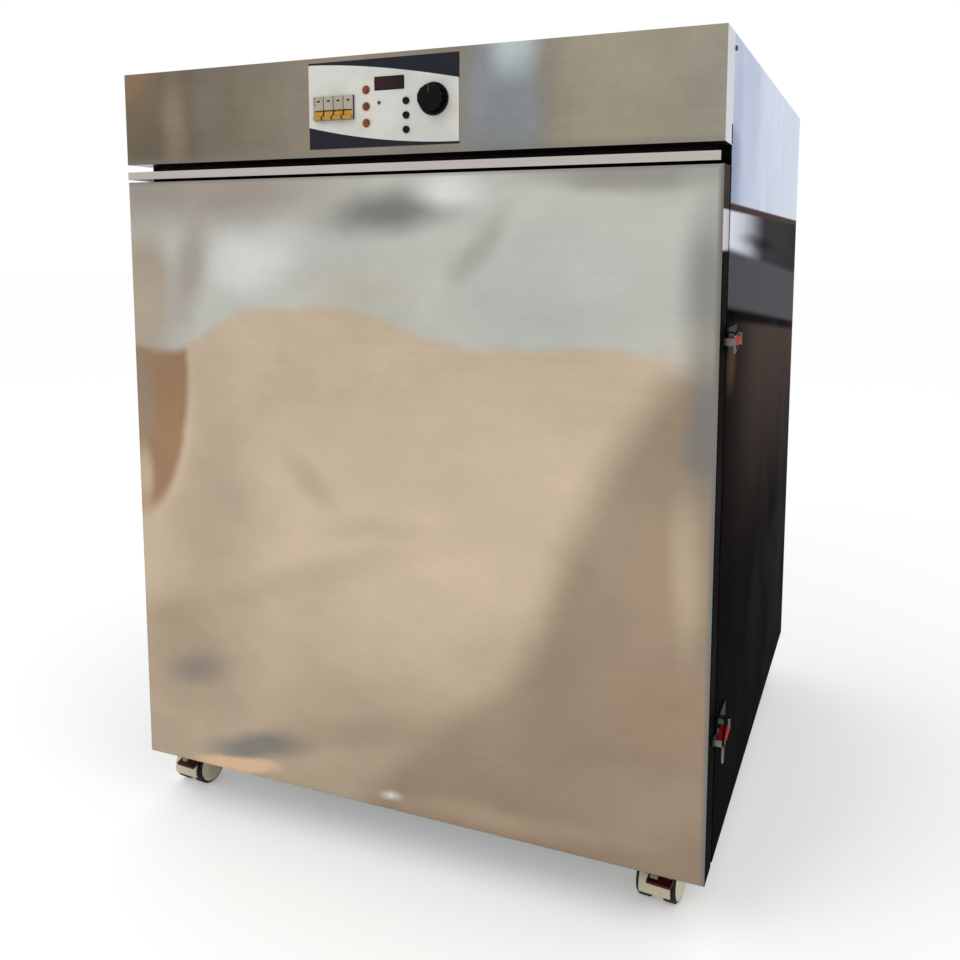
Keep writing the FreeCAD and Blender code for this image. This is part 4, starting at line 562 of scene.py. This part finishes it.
def poles(name, colour, groove, rough):
    """Moulded plastic with a thin dark joint at each quarter of the breaker's width."""
    paint = Paint(name, Metallic=0.0, Specular_IOR_Level=0.3)
    turns = paint.span(paint.axis("X"), breaker_low.x, breaker_high.x, 0.0, 4.0, smooth=False)
    part = paint.math("FRACT", turns)
    away = paint.math("ABSOLUTE", paint.math("SUBTRACT", part, 0.5))
    joint = paint.span(away, 0.5 - groove, 0.5 - groove / 2)
    broad = paint.noise(40.0, detail=4.0)
    shade = paint.span(broad, 0.3, 0.7, 0.93, 1.07)
    body = paint.mix(1.0, colour, shade, "MULTIPLY")
    paint.colour(paint.mix(joint, body, tone(48, 40, 28)))
    paint.roughness(paint.span(broad, 0.3, 0.7, rough - 0.05, rough + 0.08))
    paint.bump(joint, 0.4, -0.0004)
    return paint.material


finishes = {
    "door_steel": steel("door_steel", door_reflection_and_shade_tones, "X", 0.24, 0.03, hold=True, metal=door_metal),
    "fascia_steel": steel("fascia_steel", fascia_reflection_and_shade_tones, "X", 0.3, 0.07),
    "deflector_steel": steel("deflector_steel", deflector_tones_with_shade, "X", 0.25, 0.1, hold=True),
    "side_steel": steel("side_steel", side_reflection_and_shade_tones, "Z", 0.2, 0.05, hold=True, metal=side_metal),
    "top_steel": steel("top_steel", tone(178, 176, 172), "X", 0.32, 0.15),
    "back_steel": steel("back_steel", tone(168, 168, 166), "Z", 0.4, 0.15),
    "jamb_steel": steel("jamb_steel", jamb_tones_with_shade, "Z", 0.3, 0.12, hold=True),
    "base_steel": steel("base_steel", tone(138, 138, 138), "X", 0.5, 0.15),
    "liner_steel": steel("liner_steel", tone(188, 187, 183), "Z", 0.34, 0.1),
    "deck_steel": steel("deck_steel", tone(172, 174, 176), "X", 0.45, 0.12),
    "rack_wire": steel("rack_wire", tone(202, 202, 202), "Y", 0.2, 0.1),
    "hinge_steel": steel("hinge_steel", tone(178, 176, 172), "Z", 0.3, 0.15),
    "latch_steel": steel("latch_steel", tone(112, 112, 109), "Y", 0.2, 0.5, hold=True),
    "caster_mount": steel("caster_mount", tone(158, 158, 156), "X", 0.4, 0.15),
    "screw": steel("screw", tone(96, 92, 88), "X", 0.3, 0.1, hold=True),
    "probe_steel": steel("probe_steel", tone(188, 188, 186), "Z", 0.25, 0.1),
    "heater_tube": steel("heater_tube", tone(112, 99, 91), "Y", 0.5, 0.3),
    "fan_steel": steel("fan_steel", tone(182, 182, 181), "X", 0.35, 0.15),
    "motor_shell": plastic("motor_shell", tone(68, 70, 73), 0.5),
    "overlay_print": overlay_print(),
    "breaker_shell": poles("breaker_shell", tone(164, 156, 140), 0.05, 0.45),
    "breaker_handle": poles("breaker_handle", tone(184, 138, 46), 0.12, 0.4),
    "display_pane": pane(),
    "lamp_lens": lens(),
    "module_shell": plastic("module_shell", tone(50, 50, 52), 0.5),
    "button_cap": plastic("button_cap", tone(14, 14, 15), 0.4, Specular_IOR_Level=0.1),
    "knob_shell": knob_shell(),
    "gasket": rubber("gasket", tone(174, 90, 62)),
    "grip_red": plastic("grip_red", tone(160, 20, 32), 0.5, Specular_IOR_Level=0.03),
    "caster_shell": plastic("caster_shell", tone(204, 194, 166), 0.42, Specular_IOR_Level=0.3),
    "wheel_disc": plastic("wheel_disc", tone(208, 198, 172), 0.42, Specular_IOR_Level=0.3),
    "tyre": rubber("tyre", tone(20, 19, 18)),
    "pedal": plastic("pedal", tone(62, 16, 18), 0.4, Specular_IOR_Level=0.1),
    "gland": plastic("gland", tone(38, 38, 40), 0.45),
    "brass": steel("brass", tone(206, 160, 104), "X", 0.3, 0.1),
    "wool": wool(),
}

for entry in frame["record"]["subparts"]:
    slots = nodes[entry["node"]].material_slots
    for slot in slots:
        slot.material = finishes[entry["material_slot"]]


# Meshes

def add_piece(name, data, finish, body):
    """Puts a mesh in the scene as one piece that moves with a body."""
    thing = bpy.data.objects.new(name, data)
    scene.collection.objects.link(thing)
    data.materials.append(finishes[finish])
    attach(thing, body)
    return thing


def add_mesh(name, points, faces, finish, body):
    """A smooth piece from its points and faces."""
    data = bpy.data.meshes.new(name)
    data.from_pydata(points, [], faces)
    data.validate()
    data.update()
    for face in data.polygons:
        face.use_smooth = True
    return add_piece(name, data, finish, body)


def add_blocks(name, blocks, finish, body, edge=0.0):
    """Small blocks as one piece, each between two corners, with bevelled edges where an edge is given."""
    shape = bmesh.new()
    for low, high in blocks:
        made = bmesh.ops.create_cube(shape, size=1.0)
        for v in made["verts"]:
            v.co = Vector((low[k] + (v.co[k] + 0.5) * (high[k] - low[k]) for k in range(3)))
    if edge:
        bmesh.ops.bevel(shape, geom=shape.edges[:], offset=edge, segments=2, affect="EDGES",
                        profile=0.5)
    data = bpy.data.meshes.new(name)
    shape.to_mesh(data)
    shape.free()
    return add_piece(name, data, finish, body)


# Swells of the door's sheet: middle, width and height as shares of the sheet, and depth in millimetres
SWELLS = ((0.22, 0.72, 0.16, 0.10, 0.45), (0.62, 0.30, 0.20, 0.26, 0.5),
          (0.87, 0.66, 0.08, 0.16, 0.4), (0.40, 0.12, 0.20, 0.10, 0.3),
          (0.10, 0.42, 0.08, 0.20, 0.35), (0.52, 0.90, 0.22, 0.05, 0.3))
DENTS = ((0.264, 0.970), (0.708, 0.972), (0.047, 0.975))
DENT_SIZE = 0.006
DENT_DEPTH = 0.35
DEEPEST = 0.85
FADE = 12
# The door's height over its width
TALLNESS = 1.024


def waviness(share_x, share_z):
    """How far the door's sheet is drawn in from flat, in metres. It fades out towards the edges."""
    drawn = 0.0
    for mid_x, mid_z, wide, tall, depth in SWELLS:
        drawn += depth * math.exp(-((share_x - mid_x) / wide) ** 2 - ((share_z - mid_z) / tall) ** 2)
    for mid_x, mid_z in DENTS:
        reach = math.hypot(share_x - mid_x, (share_z - mid_z) * TALLNESS) / DENT_SIZE
        drawn += DENT_DEPTH * math.exp(-reach ** 2)
    inward = min(share_x, 1 - share_x, share_z, 1 - share_z)
    return min(drawn, DEEPEST) * min(1.0, FADE * inward) * MM


def door_shell():
    """The door's outer tray: a front sheet that isn't quite flat, bent edges and four walls."""
    radius = 1.5 * MM
    sheet = 1.2 * MM
    columns, rows = 150, 156
    bends = [math.radians(a) for a in (30, 60, 90)]
    points, faces = [], []
    index = {}
    for j in range(rows + 1):
        for i in range(columns + 1):
            x = door_low.x + radius + (width - 2 * radius) * i / columns
            z = door_low.z + radius + (door_high.z - door_low.z - 2 * radius) * j / rows
            index[i, j] = len(points)
            points.append((x, door_low.y + waviness(i / columns, j / rows), z))
    for j in range(rows):
        for i in range(columns):
            faces.append((index[i, j], index[i + 1, j], index[i + 1, j + 1], index[i, j + 1]))
    rim = [(i, 0) for i in range(columns)] + [(columns, j) for j in range(rows)]
    rim += [(i, rows) for i in range(columns, 0, -1)] + [(0, j) for j in range(rows, 0, -1)]
    loop = [index[key] for key in rim]

    def grown(reach, depth):
        ring = []
        for key in rim:
            x, _, z = points[index[key]]
            step_x = -reach if key[0] == 0 else reach if key[0] == columns else 0.0
            step_z = -reach if key[1] == 0 else reach if key[1] == rows else 0.0
            ring.append(len(points))
            points.append((x + step_x, depth, z + step_z))
        return ring

    rings = [loop] + [grown(radius * math.sin(a), door_low.y + radius * (1 - math.cos(a))) for a in bends]
    rings.append(grown(radius, door_high.y))
    for near, far in zip(rings, rings[1:]):
        for k in range(len(near)):
            following = (k + 1) % len(near)
            faces.append((near[following], near[k], far[k], far[following]))
    shell = add_mesh("door_shell", points, faces, "door_steel", "door")
    thick = shell.modifiers.new("sheet", "SOLIDIFY")
    thick.thickness = sheet
    thick.offset = -1
    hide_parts("door_skin")


door_shell()


# Small detail on the control panel

def ring_mesh(name, centre, inner, outer, depth, finish):
    """A round bezel that stands on the overlay's face, with a softened rim."""
    steps = 48
    edge = 0.3 * MM
    profile = [(inner, 0.0), (inner, -depth + edge), (inner + edge, -depth), (outer - edge, -depth),
               (outer, -depth + edge), (outer, 0.0)]
    count = len(profile)
    points, faces = [], []
    for s in range(steps):
        angle = 2 * math.pi * s / steps
        across, up = math.cos(angle), math.sin(angle)
        for reach, out in profile:
            points.append((centre[0] + reach * across, centre[1] + out, centre[2] + reach * up))
    for s in range(steps):
        for k in range(count):
            here, beyond = s * count, ((s + 1) % steps) * count
            following = (k + 1) % count
            faces.append((here + k, here + following, beyond + following, beyond + k))
    add_mesh(name, points, faces, finish, "cabinet")


face_y = overlay_low.y

display_gap = 0.3 * MM
bezel = 1.2 * MM
bezel_front = face_y - 0.9 * MM
inner_x = (display_low.x - display_gap, display_high.x + display_gap)
inner_z = (display_low.z - display_gap, display_high.z + display_gap)
long_x = (display_low.x - bezel, display_high.x + bezel)
for label, span_x, span_z in (
    ("top", long_x, (inner_z[1], inner_z[1] + bezel)),
    ("bottom", long_x, (inner_z[0] - bezel, inner_z[0])),
    ("left", (inner_x[0] - bezel, inner_x[0]), inner_z),
    ("right", (inner_x[1], inner_x[1] + bezel), inner_z),
):
    block = ((span_x[0], bezel_front, span_z[0]), (span_x[1], face_y, span_z[1]))
    add_blocks(f"display_bezel_{label}", [block], "button_cap", "cabinet", edge=0.2 * MM)


def breaker_mark(x, z, wide, tall):
    """A dark mark on the breaker's face, a little proud of it, as two corners."""
    return ((x - wide / 2, breaker_low.y - 0.15 * MM, z - tall / 2),
            (x + wide / 2, breaker_low.y + 0.2 * MM, z + tall / 2))


pole = (breaker_high.x - breaker_low.x) / 4
nose_top = (breaker_low.z + breaker_high.z) / 2 + 18 * MM
window_size = (5.2 * MM, 2.4 * MM)
window_drop = 7.2 * MM
dot_size = (1.8 * MM, 1.8 * MM)
dot_inset = 2.3 * MM
dot_drop = 3.0 * MM
dot_step = 4.6 * MM
windows = [breaker_mark(breaker_low.x + (k + 0.5) * pole, nose_top - window_drop, *window_size)
           for k in range(4)]
windows += [breaker_mark(breaker_low.x + dot_inset, nose_top - (dot_drop + dot_step * k), *dot_size)
            for k in range(3)]
add_blocks("breaker_windows", windows, "button_cap", "cabinet")

lamp_radius = 5.5 * MM
ring_inner = lamp_radius + 0.3 * MM
ring_outer = lamp_radius + 1.4 * MM
ring_depth = 1.0 * MM
lamp_step = (lamps_high.z - lamps_low.z - 2 * lamp_radius) / 2
for k in range(3):
    centre = (lamps_low.x + lamp_radius, face_y, lamps_low.z + lamp_radius + k * lamp_step)
    ring_mesh(f"lamp_ring_{k}", centre, ring_inner, ring_outer, ring_depth, "brass")


# Camera

CAMERA = (0.708, -1.8477, 1.006)
YAW = 22.86
PITCH = 6.62
LENS = 36.775
SHIFT = -0.123
camera_data = bpy.data.cameras.new("camera")
camera_data.lens = LENS
camera_data.sensor_width = 36.0
camera_data.shift_y = SHIFT
camera_data.clip_start = 0.05
camera_data.clip_end = 60.0
camera = bpy.data.objects.new("camera", camera_data)
camera.location = CAMERA
camera.rotation_euler = (math.radians(90 - PITCH), 0.0, math.radians(YAW))
scene.collection.objects.link(camera)
scene.camera = camera


# Floor, light and world

FLOOR_GLOW = 0.22
WORLD_LIGHT = 0.82


def add_floor():
    """A plain pale floor. Seen by the camera, or in metal or glass, it glows a little towards white."""
    half = 30.0
    corners = [(-half, -half, 0), (half, -half, 0), (half, half, 0), (-half, half, 0)]
    data = bpy.data.meshes.new("floor")
    data.from_pydata(corners, [], [(0, 1, 2, 3)])
    floor = bpy.data.objects.new("floor", data)
    scene.collection.objects.link(floor)
    paint = Paint("floor", Metallic=0.0, Roughness=0.9, Specular_IOR_Level=0.0)
    paint.colour((0.93, 0.93, 0.93))
    path = paint.tree.nodes.new("ShaderNodeLightPath")
    seen = path.outputs["Is Camera Ray"]
    for ray in ("Is Glossy Ray", "Is Transmission Ray"):
        seen = paint.math("ADD", seen, path.outputs[ray], clamp=True)
    paint.set(paint.shader, "Emission Color", (1.0, 1.0, 1.0))
    paint.set(paint.shader, "Emission Strength", paint.math("MULTIPLY", seen, FLOOR_GLOW))
    data.materials.append(paint.material)


LAMP_SIZE = 2.4
LAMP_AIM = Vector((0, 0, 0.6))


def add_lamp(name, place, power):
    data = bpy.data.lights.new(name, "AREA")
    data.shape = "SQUARE"
    data.size = LAMP_SIZE
    data.energy = power
    lamp = bpy.data.objects.new(name, data)
    lamp.location = place
    lamp.rotation_euler = (LAMP_AIM - Vector(place)).to_track_quat("-Z", "Y").to_euler()
    lamp.visible_glossy = False
    scene.collection.objects.link(lamp)


def add_world():
    """Even white light, at full strength where the camera, metal or glass sees it."""
    world = bpy.data.worlds.new("world")
    world.use_nodes = True
    scene.world = world
    tree = world.node_tree
    tree.nodes.clear()
    out = tree.nodes.new("ShaderNodeOutputWorld")
    ground = tree.nodes.new("ShaderNodeBackground")
    path = tree.nodes.new("ShaderNodeLightPath")
    total = path.outputs["Is Camera Ray"]
    for ray in ("Is Glossy Ray", "Is Transmission Ray"):
        both = tree.nodes.new("ShaderNodeMath")
        both.operation = "ADD"
        both.use_clamp = True
        tree.links.new(total, both.inputs[0])
        tree.links.new(path.outputs[ray], both.inputs[1])
        total = both.outputs[0]
    level = tree.nodes.new("ShaderNodeMapRange")
    tree.links.new(total, level.inputs[0])
    level.inputs[3].default_value = WORLD_LIGHT
    level.inputs[4].default_value = 1.0
    ground.inputs[0].default_value = (1, 1, 1, 1)
    tree.links.new(level.outputs[0], ground.inputs[1])
    tree.links.new(ground.outputs[0], out.inputs[0])


add_floor()
add_lamp("key", (-1.6, -3.2, 3.4), 38)
add_lamp("fill", (3.2, -1.6, 2.6), 14)
add_world()

scene.view_settings.view_transform = "Standard"
